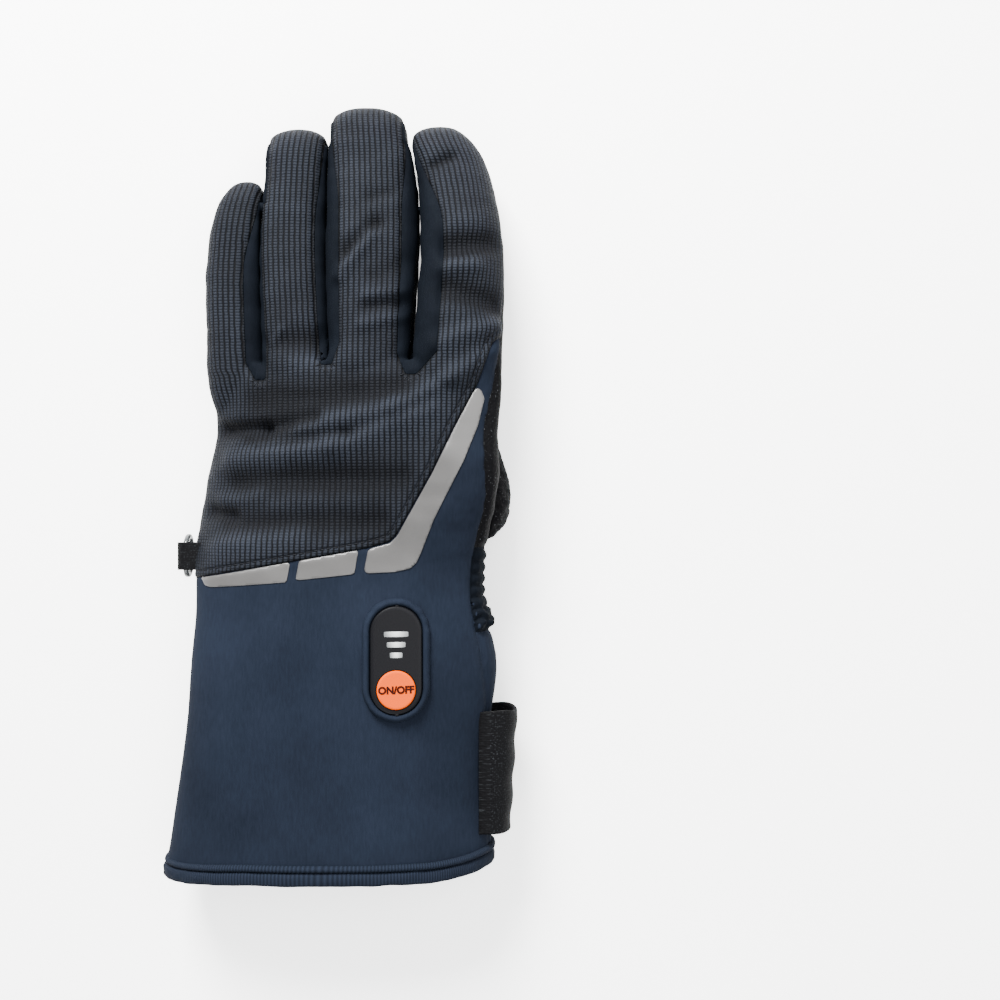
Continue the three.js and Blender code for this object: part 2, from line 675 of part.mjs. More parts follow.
const controllerPlace = controllerFrame();
const buttonY = -CONTROLLER_LENGTH / 2 + CONTROLLER_WIDTH / 2 - BUTTON_SHIFT;

// Controller pieces, in the controller's own frame
function controllerParts() {
  const pocketFloor = CONTROLLER_PROUD + BUTTON_PROUD - BUTTON_HEIGHT - BUTTON_TRAVEL - CLEARANCE;
  const circle = (diameter) => {
    const shape = new THREE.Shape();
    shape.absarc(0, buttonY, diameter / 2, 0, 2 * Math.PI);
    return shape;
  };
  const bar = (i, grow, low, high) => {
    const half = BAR_LENGTHS[i] / 2 + grow;
    const y = FIRST_BAR - i * BAR_PITCH;
    return block(-half, y - BAR_WIDTH / 2 - grow, low, half, y + BAR_WIDTH / 2 + grow, high);
  };
  const face = CONTROLLER_PROUD;
  const body = stadium(CONTROLLER_WIDTH, CONTROLLER_LENGTH);
  let housing = plate(body, face - CONTROLLER_DEPTH, face, CONTROLLER_ROUND);
  housing = housing.subtract(plate(circle(BUTTON_DIAMETER + 2 * CLEARANCE), pocketFloor, face + 1));
  const bars = BAR_LENGTHS.map((_, i) => bar(i, 0, face - BAR_THICKNESS, face));
  BAR_LENGTHS.forEach((_, i) => {
    housing = housing.subtract(bar(i, CLEARANCE, face - BAR_THICKNESS - CLEARANCE, face + 1));
  });
  const top = face + BUTTON_PROUD;
  const button = plate(circle(BUTTON_DIAMETER), top - BUTTON_HEIGHT, top, BUTTON_ROUND);
  return { housing, bars, button };
}

const controller = controllerParts();
const windowWidth = CONTROLLER_WIDTH + 2 * CLEARANCE;
const windowLength = CONTROLLER_LENGTH + 2 * CLEARANCE;
const windowPlug = plate(stadium(windowWidth, windowLength), -CONTROLLER_DEPTH, CONTROLLER_DEPTH);
const windowCut = placed(windowPlug, controllerPlace);

// The raised fabric ring round the window
function controllerWelt() {
  const tall = stadium(windowWidth + 2 * WELT_WIDTH, windowLength + 2 * WELT_WIDTH);
  const ringShape = plate(tall, -CONTROLLER_DEPTH / 2, WELT_PROUD, WELT_ROUND);
  return placed(ringShape, controllerPlace).subtract(windowCut).subtract(bodySolid(CLEARANCE));
}

// Panels of the shell
const cuffZone = cuffOutline();
const back = shell.intersect(aboveSeam).subtract(cutForFourchettes);
const handBack = back.subtract(prism(widened(cuffZone, CLEARANCE / 2)));
const cuffBack = back
  .intersect(prism(widened(cuffZone, -CLEARANCE / 2)))
  .intersect(slice(PANEL_START, HAND_LENGTH + REACH))
  .subtract(windowCut);
const palmSide = shell.subtract(spaceAboveSeam(-CLEARANCE / 2)).subtract(cutForFourchettes);
const palmPanel = palmSide.intersect(slice(ELASTIC_END, HAND_LENGTH + 2 * REACH));
const wristElastic = palmSide.intersect(slice(ELASTIC_START, ELASTIC_END - CLEARANCE));
const cuffPalm = palmSide.intersect(slice(PANEL_START, ELASTIC_START - CLEARANCE));
const thumb = thumbSolid(0)
  .intersect(above(0))
  .subtract(thumbInner.intersect(above(WALL)))
  .subtract(bodySolid(CLEARANCE));

// Reflective film on the cuff's back, just below the ribbed edge
function film(points) {
  const skin = handSolid(CLEARANCE + FILM_THICKNESS).subtract(handSolid(CLEARANCE));
  return skin.intersect(aboveSeam).intersect(prism(points));
}

// Outline of a band: between two places across the glove, from the ribbed edge down by the film's width
function filmBand(band) {
  const edge = (side) => read(RIB_EDGE, side, "side", "y") - CLEARANCE;
  const top = [];
  const bottom = [];
  for (let i = 0; i <= FILM_STEPS; i += 1) {
    const share = i / FILM_STEPS;
    const side = HAND_WIDTH * THREE.MathUtils.lerp(band.from, band.to, share);
    const width = FILM_WIDTH * THREE.MathUtils.lerp(band.fromWidth, band.toWidth, share);
    top.push(new THREE.Vector2(side, edge(side)));
    bottom.push(new THREE.Vector2(side - FILM_LEAN * width, edge(side) - width));
  }
  return [...bottom, ...top.reverse()];
}

// The side strap: a loop of webbing sewn into the thumb side of the cuff
function strap() {
  const centre = read(SEAM, -STRAP_START, "y", "height");
  const edge = read(BODY, -STRAP_START - STRAP_LENGTH / 2, "y", "right");
  const band = (inset) => {
    const points = [];
    for (let i = 0; i <= STRAP_STEPS; i += 1) {
      const angle = -Math.PI / 2 + (Math.PI * i) / STRAP_STEPS;
      const out = Math.abs(Math.cos(angle)) ** STRAP_SQUARENESS * (STRAP_BULGE - inset);
      points.push(new THREE.Vector2(out, Math.sin(angle) * (STRAP_RISE / 2 - inset)));
    }
    return points;
  };
  const outside = band(0);
  const inside = band(STRAP_THICKNESS).reverse();
  const shape = new THREE.Shape([
    new THREE.Vector2(-STRAP_ROOT, outside[0].y),
    ...outside,
    new THREE.Vector2(-STRAP_ROOT, outside.at(-1).y),
    new THREE.Vector2(-STRAP_ROOT, inside[0].y),
    ...inside,
    new THREE.Vector2(-STRAP_ROOT, inside.at(-1).y),
  ]);
  const options = { depth: STRAP_LENGTH, steps: STRAP_PARTS, bevelEnabled: false };
  const geometry = new THREE.ExtrudeGeometry(shape, options);
  const position = geometry.attributes.position;
  for (let i = 0; i < position.count; i += 1) {
    const along = position.getZ(i) / STRAP_LENGTH;
    const x = position.getX(i);
    const narrowed = x > 0 ? x * (1 - STRAP_TAPER * along) : x;
    position.setXYZ(i, edge + narrowed, -STRAP_START - along * STRAP_LENGTH, centre + position.getY(i));
  }
  return solid(geometry).subtract(bodySolid(CLEARANCE));
}

// A round outline with a hole, in three.js shape form
function roundedRing(width, height, radius, border) {
  const rounded = (shape, w, h, r) => {
    shape.absarc(w / 2 - r, h / 2 - r, r, 0, Math.PI / 2);
    shape.absarc(-w / 2 + r, h / 2 - r, r, Math.PI / 2, Math.PI);
    shape.absarc(-w / 2 + r, -h / 2 + r, r, Math.PI, 1.5 * Math.PI);
    shape.absarc(w / 2 - r, -h / 2 + r, r, 1.5 * Math.PI, 2 * Math.PI);
    return shape;
  };
  const shape = rounded(new THREE.Shape(), width, height, radius);
  const inside = Math.max(radius - border, CLEARANCE);
  shape.holes.push(rounded(new THREE.Path(), width - 2 * border, height - 2 * border, inside));
  return shape;
}

// The clip hangs by its bar in the tab, against the little finger's side of the cuff
const clipEdge = -read(BODY, CLIP_PLACE, "y", "left");
const clipHeight = middleHeight(clipEdge, CLIP_PLACE) + CLIP_LIFT;
const tabInside = CLIP_BAR / 2 + CLEARANCE;
const tabNose = -TAB_REACH + tabInside + TAB_THICKNESS;

function sideClip() {
  const shape = roundedRing(CLIP_LENGTH, CLIP_DROP, CLIP_BAR, CLIP_BAR);
  const options = { depth: CLIP_THICKNESS, bevelEnabled: false, curveSegments: 4 };
  const geometry = new THREE.ExtrudeGeometry(shape, options);
  geometry.translate(0, -CLIP_DROP / 2 + CLIP_BAR / 2, -CLIP_THICKNESS / 2);
  geometry.rotateX(Math.PI / 2).rotateZ(-Math.PI / 2);
  geometry.translate(clipEdge + tabNose + 2 * CLEARANCE, CLIP_PLACE, clipHeight);
  return solid(geometry);
}

// The tab: webbing folded round the clip's bar, with both ends at the wall
function clipTab() {
  const outside = tabInside + TAB_THICKNESS;
  const shape = new THREE.Shape();
  shape.moveTo(WALL, outside);
  shape.lineTo(tabNose, outside);
  shape.absarc(tabNose, 0, outside, Math.PI / 2, 1.5 * Math.PI);
  shape.lineTo(WALL, -outside);
  shape.lineTo(WALL, -tabInside);
  shape.lineTo(tabNose, -tabInside);
  shape.absarc(tabNose, 0, tabInside, 1.5 * Math.PI, Math.PI / 2, true);
  shape.lineTo(WALL, tabInside);
  const options = { depth: TAB_WIDTH, bevelEnabled: false, curveSegments: 5 };
  const geometry = new THREE.ExtrudeGeometry(shape, options);
  geometry.rotateX(Math.PI / 2).translate(clipEdge, CLIP_PLACE + TAB_WIDTH / 2, clipHeight);
  return solid(geometry).subtract(bodySolid(CLEARANCE));
}

// A short end of tape that shows under the hem, sewn to the inside of the wall
function pullTab() {
  const edge = -read(BODY, MOUTH, "y", "left");
  const start = MOUTH - PULL_PROUD;
  const side = edge + PULL_INSET;
  const tape = block(edge, start, PULL_HEIGHT, side, start + PULL_LENGTH, PULL_HEIGHT + PULL_THICKNESS);
  return tape.intersect(bodySolid(-WALL - CLEARANCE, BINDING_WIDTH + WALL));
}

// Materials with the colours of the real surfaces
function surface(color, roughness, metalness = 0) {
  return new THREE.MeshStandardMaterial({ color, roughness, metalness });
}

const ribbed = surface(0x3c4147, 0.75);
const softshell = surface(0x252c3a, 0.85);
const palmCloth = surface(0x17191c, 0.9);
const stretch = surface(0x1f242d, 0.8);
const filmGrey = surface(0x9d9c98, 0.5, 0.1);
const hardBlack = surface(0x3a3f42, 0.4);
const barWhite = surface(0xc9cbcb, 0.35);
const orange = surface(0xff8a52, 0.45);
const webbing = surface(0x1b1d20, 0.85);
const clearGrey = surface(0x6e7172, 0.4);

const glove = new THREE.Group();

// Adds a solid to the glove as a named mesh
function add(name, shape, material, parent = glove) {
  const mesh = main(shape).getMesh();
  const positions = new Float32Array(mesh.numVert * 3);
  for (let i = 0; i < mesh.numVert; i += 1) {
    positions.set(mesh.vertProperties.subarray(i * mesh.numProp, i * mesh.numProp + 3), i * 3);
  }
  const geometry = new THREE.BufferGeometry();
  geometry.setAttribute("position", new THREE.BufferAttribute(positions, 3));
  geometry.setIndex(new THREE.BufferAttribute(new Uint32Array(mesh.triVerts), 1));
  const piece = new THREE.Mesh(geometry, material);
  piece.name = name;
  parent.add(piece);
}

add("hand_back", handBack, ribbed);
const gapNames = ["fourchette_little_ring", "fourchette_ring_middle", "fourchette_middle_index"];
fourchettes.forEach((points, i) => {
  const strip = shell.intersect(prism(widened(points, -CLEARANCE / 2)));
  add(gapNames[i], strip, stretch);
});
add("palm_panel", palmPanel, palmCloth);
add("thumb", thumb, palmCloth);
add("cuff_back", cuffBack, softshell);
add("wrist_elastic", wristElastic, stretch);
add("cuff_palm", cuffPalm, softshell);
add("hem_piping", hemRing(PIPING_START, PIPING_END, PIPING_PROUD), softshell);
add("hem_binding", hemRing(MOUTH, BINDING_END, BINDING_PROUD), softshell);

add("reflector_long", film(outline(FILM_LONG)), filmGrey);
FILM_BANDS.forEach((band) => add(band.name, film(filmBand(band)), filmGrey));

add("controller_welt", controllerWelt(), softshell);
const controllerGroup = new THREE.Group();
controllerPlace.decompose(controllerGroup.position, controllerGroup.quaternion, controllerGroup.scale);
glove.add(controllerGroup);
add("controller_housing", controller.housing, hardBlack, controllerGroup);
controller.bars.forEach((bar, i) => add(`led_bar_${i + 1}`, bar, barWhite, controllerGroup));
add("power_button", controller.button, orange, controllerGroup);

add("wrist_strap", strap(), webbing);
add("clip_tab", clipTab(), webbing);
add("side_clip", sideClip(), clearGrey);
add("pull_tab", pullTab(), webbing);

// The origin lies under the middle of the glove, on the surface that it rests on
const bounds = new THREE.Box3().setFromObject(glove);
const middle = bounds.getCenter(new THREE.Vector3());
glove.position.set(-middle.x, -middle.y, -bounds.min.z);

export default glove;
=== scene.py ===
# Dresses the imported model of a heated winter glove: sewn panels, trims, controller, webbing and stage.
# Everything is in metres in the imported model's frame. The shell is worked out from a wrist line and a middle
# line, in tables whose columns are shares of the glove's main sizes.
import math
from collections import namedtuple

import bmesh
import bpy
import numpy as np
from bpy.props import FloatProperty, FloatVectorProperty, PointerProperty
from bpy.types import Operator, Panel, PropertyGroup
from mathutils import Matrix, Vector, noise
from mathutils.bvhtree import BVHTree

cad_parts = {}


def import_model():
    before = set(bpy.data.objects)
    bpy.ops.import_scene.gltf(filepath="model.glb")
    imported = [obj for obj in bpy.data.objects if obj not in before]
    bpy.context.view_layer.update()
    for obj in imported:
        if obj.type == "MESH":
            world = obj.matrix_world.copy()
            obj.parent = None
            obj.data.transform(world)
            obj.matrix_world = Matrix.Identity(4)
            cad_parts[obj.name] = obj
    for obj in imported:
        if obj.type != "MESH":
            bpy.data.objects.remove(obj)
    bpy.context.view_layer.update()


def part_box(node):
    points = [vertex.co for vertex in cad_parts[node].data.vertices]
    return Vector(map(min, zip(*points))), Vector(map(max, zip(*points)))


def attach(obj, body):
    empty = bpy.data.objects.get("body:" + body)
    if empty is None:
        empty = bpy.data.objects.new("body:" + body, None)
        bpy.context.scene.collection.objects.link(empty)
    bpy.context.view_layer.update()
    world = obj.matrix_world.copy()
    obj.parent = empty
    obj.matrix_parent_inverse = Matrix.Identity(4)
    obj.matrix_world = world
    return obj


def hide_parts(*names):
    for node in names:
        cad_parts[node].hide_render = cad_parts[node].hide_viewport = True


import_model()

bl_info = {
    "name": "Heated Glove",
    "version": (1, 0, 0),
    "blender": (4, 5, 0),
    "location": "View3D > Sidebar > Glove",
    "description": "Sews the panels and trims of a heated winter glove around its packed model",
    "category": "Add Mesh",
}

MM = 0.001
BODY = "glove"
BUTTON_BODY = "button"

# The middle line of the shell lies a little to the thumb's side of the origin
MIDDLE_X = 2.72 * MM

Section = namedtuple("Section", "along left right up down")
Seam = namedtuple("Seam", "along height slope rise")
Finger = namedtuple("Finger", "length width thickness rounding left_seam right_seam axis")
Axis = namedtuple("Axis", "along side width")
Thumb = namedtuple("Thumb", "along side height width thickness")
Corner = namedtuple("Corner", "side along")
Fold = namedtuple("Fold", "side1 along1 side2 along2 depth width")
Band = namedtuple("Band", "name node start end start_width end_width corner")

# Sections from the mouth to the wrist, in shares of the cuff's length, width and height
CUFF_SECTIONS = [
    Section(-1.06, 0.563, 0.442, 0.51, 0.5),
    Section(-0.88, 0.542, 0.446, 0.52, 0.5),
    Section(-0.65, 0.511, 0.44, 0.52, 0.5),
    Section(-0.42, 0.49, 0.443, 0.52, 0.5),
    Section(-0.18, 0.472, 0.462, 0.51, 0.5),
]

# Sections from the wrist to the finger roots, in shares of the hand's length, width and height
HAND_SECTIONS = [
    Section(0, 0.51, 0.478, 0.49, 0.48),
    Section(0.12, 0.512, 0.466, 0.47, 0.46),
    Section(0.25, 0.52, 0.474, 0.45, 0.4),
    Section(0.37, 0.516, 0.494, 0.43, 0.3),
    Section(0.49, 0.5, 0.514, 0.41, 0.23),
    Section(0.61, 0.487, 0.524, 0.4, 0.22),
    Section(0.73, 0.462, 0.52, 0.38, 0.22),
    Section(0.86, 0.468, 0.528, 0.36, 0.22),
    Section(0.97, 0.474, 0.532, 0.33, 0.22),
    Section(1.03, 0.47, 0.528, 0.26, 0.18),
]

# Side seam between back and palm: height at the middle line, slope across and rise at the thumb's side
CUFF_SEAM = [Seam(-1.0, 0.48, 0, 0.08), Seam(-0.4, 0.48, 0, 0.16), Seam(-0.2, 0.48, 0, 0.26)]
HAND_SEAM = [
    Seam(0, 0.48, 0, 0.26),
    Seam(0.2, 0.48, 0.03, 0.23),
    Seam(0.45, 0.49, 0.16, 0.18),
    Seam(0.65, 0.5, 0.195, 0.2),
    Seam(1.0, 0.49, 0.18, 0.11),
]
FINGER_SEAM = [
    Seam(0.12, 0.478, 0.17, 0.05),
    Seam(0.3, 0.46, 0.15, 0.02),
    Seam(0.55, 0.4, 0.11, 0.01),
    Seam(0.8, 0.31, 0.04, 0),
    Seam(1.05, 0.27, 0.01, 0),
]

# Little, ring, middle and index finger, in millimetres, with the seams in shares of half the width
FINGERS = [
    Finger(79, 23, 23, 21, -1, 0.45,
           [Axis(0, -0.388, 1.04), Axis(0.5, -0.395, 1), Axis(0.8, -0.379, 0.93), Axis(1, -0.358, 0.86)]),
    Finger(100, 27, 25, 14, -0.84, 0.72,
           [Axis(0, -0.17, 1), Axis(0.5, -0.188, 1.01), Axis(0.8, -0.183, 1), Axis(1, -0.172, 0.98)]),
    Finger(108, 35.5, 27, 12, -0.68, 0.68,
           [Axis(0, 0.086, 0.93), Axis(0.5, 0.089, 1.03), Axis(0.8, 0.08, 0.99), Axis(1, 0.068, 0.93)]),
    Finger(100, 33, 27, 14, -0.44, 1,
           [Axis(0, 0.385, 1.05), Axis(0.5, 0.4, 0.99), Axis(0.8, 0.365, 0.9), Axis(1, 0.312, 0.82)]),
]
# Where the slots between the fingers end, in shares of the hand's length
SLOT_ENDS = [0.957, 1.012, 0.968]
STRIP_NODES = ["fourchette_little_ring", "fourchette_ring_middle", "fourchette_middle_index"]

# Thumb: place along it, side in shares of the hand's width, the rest in shares of its own sizes
THUMB = [
    Thumb(0, 0.4, 1.45, 0.35, 0.5),
    Thumb(0.08, 0.405, 1.2, 0.8, 1.1),
    Thumb(0.19, 0.415, 0.88, 1.02, 1.5),
    Thumb(0.32, 0.415, 0.68, 1.03, 1.36),
    Thumb(0.48, 0.395, 0.52, 0.98, 1.04),
    Thumb(0.66, 0.356, 0.5, 0.92, 1),
    Thumb(0.83, 0.322, 0.48, 0.84, 0.96),
    Thumb(0.94, 0.3, 0.46, 0.62, 0.8),
    Thumb(1, 0.292, 0.45, 0.3, 0.5),
]
THUMB_ROOT = 0.27

# Lower edge of the ribbed back, in shares of the hand's width and length
RIB_EDGE = [
    Corner(-0.8, 0.12),
    Corner(-0.5, 0.155),
    Corner(-0.17, 0.224),
    Corner(0.092, 0.281),
    Corner(0.164, 0.305),
    Corner(0.188, 0.335),
    Corner(0.306, 0.584),
    Corner(0.381, 0.77),
    Corner(0.453, 0.932),
    Corner(0.5, 1.09),
    Corner(0.8, 1.45),
]

# Reflective film: the long piece corner by corner, and the two bands under the ribbed edge
FILM_LONG = [
    Corner(0.094, 0.275),
    Corner(0.079, 0.18),
    Corner(0.18, 0.186),
    Corner(0.23, 0.199),
    Corner(0.251, 0.222),
    Corner(0.264, 0.255),
    Corner(0.308, 0.39),
    Corner(0.41, 0.63),
    Corner(0.452, 0.76),
    Corner(0.474, 0.87),
    Corner(0.453, 0.925),
    Corner(0.381, 0.762),
    Corner(0.306, 0.576),
    Corner(0.19, 0.329),
    Corner(0.165, 0.299),
]
FILM_BANDS = [
    Band("film_middle", "reflector_middle", -0.133, 0.062, 0.84, 1.02, 0),
    Band("film_side", "reflector_side", -0.475, -0.163, 0.42, 0.84, 0.05),
]

# Folds: a dip or, with a positive depth, a ridge along a straight run. Places are shares of the hand's width
# and length, depth and width shares of its height
FOLDS = [
    Fold(-0.41, 0.758, -0.27, 0.758, -0.050, 0.073),
    Fold(-0.27, 0.758, -0.09, 0.797, -0.034, 0.068),
    Fold(-0.14, 0.762, 0.18, 0.833, 0.027, 0.091),
    Fold(0.18, 0.833, 0.38, 0.951, 0.030, 0.091),
    Fold(-0.33, 0.706, 0.02, 0.734, -0.020, 0.057),
    Fold(-0.29, 0.679, -0.03, 0.706, -0.011, 0.030),
    Fold(0.02, 0.734, 0.30, 0.864, -0.016, 0.068),
    Fold(-0.38, 0.627, -0.03, 0.679, 0.030, 0.114),
    Fold(-0.03, 0.679, 0.30, 0.833, 0.027, 0.114),
    Fold(-0.36, 0.540, 0.20, 0.556, -0.036, 0.136),
    Fold(-0.41, 0.469, -0.29, 0.489, 0.023, 0.091),
    Fold(-0.38, 0.379, 0.13, 0.390, -0.027, 0.136),
    Fold(-0.41, 0.288, -0.13, 0.323, 0.023, 0.114),
    Fold(-0.45, 0.422, -0.38, 0.410, -0.034, 0.068),
    Fold(-0.29, 0.864, 0.20, 0.912, -0.027, 0.182),
    Fold(0.01, 1.468, 0.11, 1.583, -0.032, 0.073),
    Fold(0.09, 1.536, -0.01, 1.374, 0.027, 0.068),
    Fold(0.08, 1.287, 0.20, 1.307, 0.016, 0.057),
    Fold(0.08, 1.239, 0.20, 1.259, -0.014, 0.057),
    Fold(0.07, 1.172, 0.20, 1.204, 0.016, 0.057),
    Fold(0.09, 1.694, 0.16, 1.717, -0.011, 0.057),
    Fold(0.11, 1.370, 0.20, 1.409, -0.014, 0.091),
    Fold(0.30, 1.828, 0.36, 1.859, -0.023, 0.050),
    Fold(0.35, 1.472, 0.49, 1.496, -0.041, 0.114),
    Fold(0.35, 1.393, 0.44, 1.401, 0.027, 0.080),
    Fold(0.35, 1.307, 0.53, 1.235, -0.036, 0.114),
    Fold(0.32, 1.085, 0.52, 1.160, 0.030, 0.091),
    Fold(0.36, 0.951, 0.53, 1.081, 0.018, 0.068),
    Fold(-0.16, 1.014, -0.05, 1.034, 0.023, 0.080),
    Fold(-0.26, 1.101, -0.08, 1.121, -0.018, 0.091),
    Fold(-0.24, 1.109, -0.21, 1.157, 0.014, 0.045),
]

# Squareness of the sections, and of the round fingertips
UPPER_POWER = 2.4
LOWER_POWER = 3
FINGER_POWER = 2.7
TIP_POWER = 2.5

# How finely the draft lofts and rings are divided
BODY_SIDES = 96
FINGER_SIDES = 48
BODY_RINGS = 44
FINGER_RINGS = 16
TIP_RINGS = 8
RING_STEPS = 96
MOUTH_STEPS = 420


def linear(code, alpha=1.0):
    """Turns an sRGB hex colour into linear values."""
    parts = [int(code[i:i + 2], 16) / 255 for i in (1, 3, 5)]
    return tuple(p / 12.92 if p <= 0.04045 else ((p + 0.055) / 1.055) ** 2.4 for p in parts) + (alpha,)


def length(name, millimetres, description):
    """A length in the sidebar."""
    return FloatProperty(
        name=name, description=description, default=millimetres * MM, unit="LENGTH", precision=5
    )


def colour(name, code, description):
    """A colour in the sidebar."""
    return FloatVectorProperty(
        name=name, description=description, default=linear(code), subtype="COLOR", size=4, min=0, max=1
    )


class GloveSizes(PropertyGroup):
    """Sizes of the sewn shell."""

    cuff_length: length("Cuff length", 102.5, "From the mouth to the wrist line")
    cuff_width: length("Cuff width", 131, "Width of the flattened cuff")
    cuff_height: length("Cuff height", 44, "Height of the cuff where it lies")
    hand_length: length("Hand length", 98, "From the wrist line to the finger roots")
    hand_width: length("Hand width", 118, "Width across the hand")
    hand_height: length("Hand height", 44, "Height of the wrist where it lies")
    reach: length("Finger reach", 108, "Length of the middle finger from the roots")
    thumb_length: length("Thumb length", 78, "Length of the folded thumb")
    thumb_width: length("Thumb width", 33, "Width of the thumb")
    thumb_thickness: length("Thumb thickness", 17, "Thickness of the folded thumb")
    wall: length("Wall", 2.6, "Thickness of cloth, filling and lining together")
    mesh_size: length("Mesh size", 0.9, "Size of one face of the shell")
    root_blend: length("Root blend", 22, "How far the fingers run into the hand")
    finger_gap: length("Finger gap", 0.5, "Gap between two fingers that lie side by side")
    seam_depth: length("Seam depth", 0.75, "How deep a seam pulls into the cloth")
    seam_width: length("Seam width", 1.5, "How far from a seam the cloth is pulled down")


class TrimSizes(PropertyGroup):
    """Sizes of hem, film, controller and webbing."""

    piping_width: length("Piping width", 2.6, "Width of the round cord above the hem")
    binding_width: length("Binding width", 5.6, "Width of the rolled hem")
    binding_proud: length("Binding proud", 1.5, "How far the hem stands out from the cuff")
    film_width: length("Film width", 9, "Width of the short film bands")
    film_thickness: length("Film thickness", 0.25, "Thickness of the film")
    controller_length: length("Controller length", 41.6, "Length of the controller's face")
    controller_width: length("Controller width", 20, "Width of the controller's face")
    controller_side: length("Controller side", 22, "From the middle line to the controller")
    controller_back: length("Controller back", 15.5, "From the wrist line to the controller's middle")
    controller_proud: length("Controller proud", 2.2, "How far the face stands above the cuff")
    button_width: length("Button width", 14.9, "Diameter of the button")
    button_height: length("Button height", 3.9, "Height of the button with its skirt")
    button_proud: length("Button proud", 0.8, "How far the button stands above the face")
    button_room: length("Button room", 1.1, "Depth of the pocket under the button, for its travel and its clearance")
    strap_length: length("Strap length", 48, "Length of the strap along the cuff")
    strap_start: length("Strap start", 38, "From the wrist line to the strap")
    strap_bulge: length("Strap bulge", 10.5, "How far the strap stands off the cuff")
    strap_rise: length("Strap rise", 20, "Height of the strap's loop")
    strap_thickness: length("Strap thickness", 1.6, "Thickness of the webbing")
    stitch_pitch: length("Stitch pitch", 2.7, "From one stitch to the next")
    stitch_inset: length("Stitch inset", 2.4, "From the folded edge to the stitches")


class GloveColours(PropertyGroup):
    """Colours of the cloths and plastics."""

    rib_top: colour("Rib top", "#16191f", "Raised cells of the waffle knit")
    # Painted shade that darkens the waffle knit's grooves
    rib_groove_painted_shade: colour("Rib groove", "#020203", "Grooves of the waffle knit")
    softshell: colour("Softshell", "#0f131b", "Smooth cloth of the cuff")
    stretch: colour("Stretch cloth", "#05070b", "Strips between the fingers")
    palm: colour("Palm cloth", "#030304", "Grip cloth of palm and thumb")
    film: colour("Film", "#3c3b3a", "Reflective film")
    housing: colour("Housing", "#08080a", "Moulded body of the controller")
    light: colour("Light", "#9a9c9c", "Level lights")
    button: colour("Button", "#a83c00", "Power button")
    lettering: colour("Lettering", "#1c0302", "Printing on the button")
    webbing: colour("Webbing", "#040405", "Woven straps")
    clip: colour("Clip", "#36393a", "Smoky plastic clip")
    floor: colour("Floor", "#fbfbfa", "Light table that the glove lies on")


def sizes():
    """The shell's sizes."""
    return bpy.context.scene.glove_sizes


def trims():
    """The trims' sizes."""
    return bpy.context.scene.glove_trims


def colours():
    """The glove's colours."""
    return bpy.context.scene.glove_colours


def wrist_y():
    """The wrist line lies one cuff length in front of the hem's edge."""
    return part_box("hem_binding")[0].y + sizes().cuff_length


def along_curve(places, values, place):
    """Reads a smooth curve through table rows, level at both ends."""
    places = np.asarray(places, float)
    values = np.asarray(values, float)
    slopes = np.zeros(len(values))
    slopes[1:-1] = (values[2:] - values[:-2]) / (places[2:] - places[:-2])
    i = np.clip(np.searchsorted(places, place) - 1, 0, len(places) - 2)
    span = places[i + 1] - places[i]
    t = np.clip((place - places[i]) / span, 0, 1)
    start = slopes[i] * span
    end = slopes[i + 1] * span
    rise = values[i + 1] - values[i]
    return values[i] + start * t + (3 * rise - 2 * start - end) * t * t + (start + end - 2 * rise) * t**3


def ramp(low, high, value):
    """Runs smoothly from nought at low to one at high."""
    t = np.clip((value - low) / (high - low), 0, 1)
    return t * t * (3 - 2 * t)


def bell(distance, width):
    """A bell curve that is one at nought."""
    return np.exp(-((distance / width) ** 2))


def section_at(y):
    """Reach to each side, height above and depth below the middle of the shell's section."""
    s = sizes()
    rows = [(r.along * s.cuff_length, r.left * s.cuff_width, r.right * s.cuff_width,
             r.up * s.cuff_height, r.down * s.cuff_height) for r in CUFF_SECTIONS]
    rows += [(r.along * s.hand_length, r.left * s.hand_width, r.right * s.hand_width,
              r.up * s.hand_height, r.down * s.hand_height) for r in HAND_SECTIONS]
    places, *columns = zip(*rows)
    return Section(y, *(along_curve(places, column, y) for column in columns))


def seam_at(y):
    """Height, slope and rise of the side seam."""
    s = sizes()
    rows = [(r.along * s.cuff_length, r.height * s.cuff_height, r.slope, r.rise * s.cuff_height)
            for r in CUFF_SEAM]
    rows += [(r.along * s.hand_length, r.height * s.hand_height, r.slope, r.rise * s.hand_height)
             for r in HAND_SEAM]
    rows += [(s.hand_length + r.along * s.reach, r.height * s.hand_height, r.slope, r.rise * s.hand_height)
             for r in FINGER_SEAM]
    places, *columns = zip(*rows)
    return Seam(y, *(along_curve(places, column, y) for column in columns))


def middle_height(x, y):
    """Height of the middle of the section."""
    seam = seam_at(y)
    return seam.height + x * seam.slope


def above_seam(co):
    """Height above the side seam."""
    x, y, z = co.T
    share = np.clip(0.5 + x / sizes().hand_width, 0, 1)
    return z - middle_height(x, y) - share * seam_at(y).rise


def squircle(angle, upper, lower):
    """A point of a rounded square with its sides at one."""
    c = np.cos(angle)
    s = np.sin(angle)
    power = 2 / np.where(s >= 0, upper, lower)
    return np.sign(c) * np.abs(c) ** power, np.sign(s) * np.abs(s) ** power


def body_ring(y, angle):
    """Points of the cuff's or hand's section at given angles."""
    row = section_at(y)
    c, s = squircle(angle, UPPER_POWER, LOWER_POWER)
    x = (row.right - row.left) / 2 + ((row.left + row.right) / 2) * c
    z = middle_height(x, y) + s * np.where(s >= 0, row.up, row.down)
    return np.stack([x, x * 0 + y, z], axis=-1)


def finger_at(finger, y):
    """Middle line and half width of a finger."""
    s = sizes()
    along = (y - s.hand_length) / (finger.length * MM)
    places = [row.along for row in finger.axis]
    side = along_curve(places, [row.side for row in finger.axis], along) * s.hand_width
    width = along_curve(places, [row.width for row in finger.axis], along) * finger.width * MM
    return side, width / 2


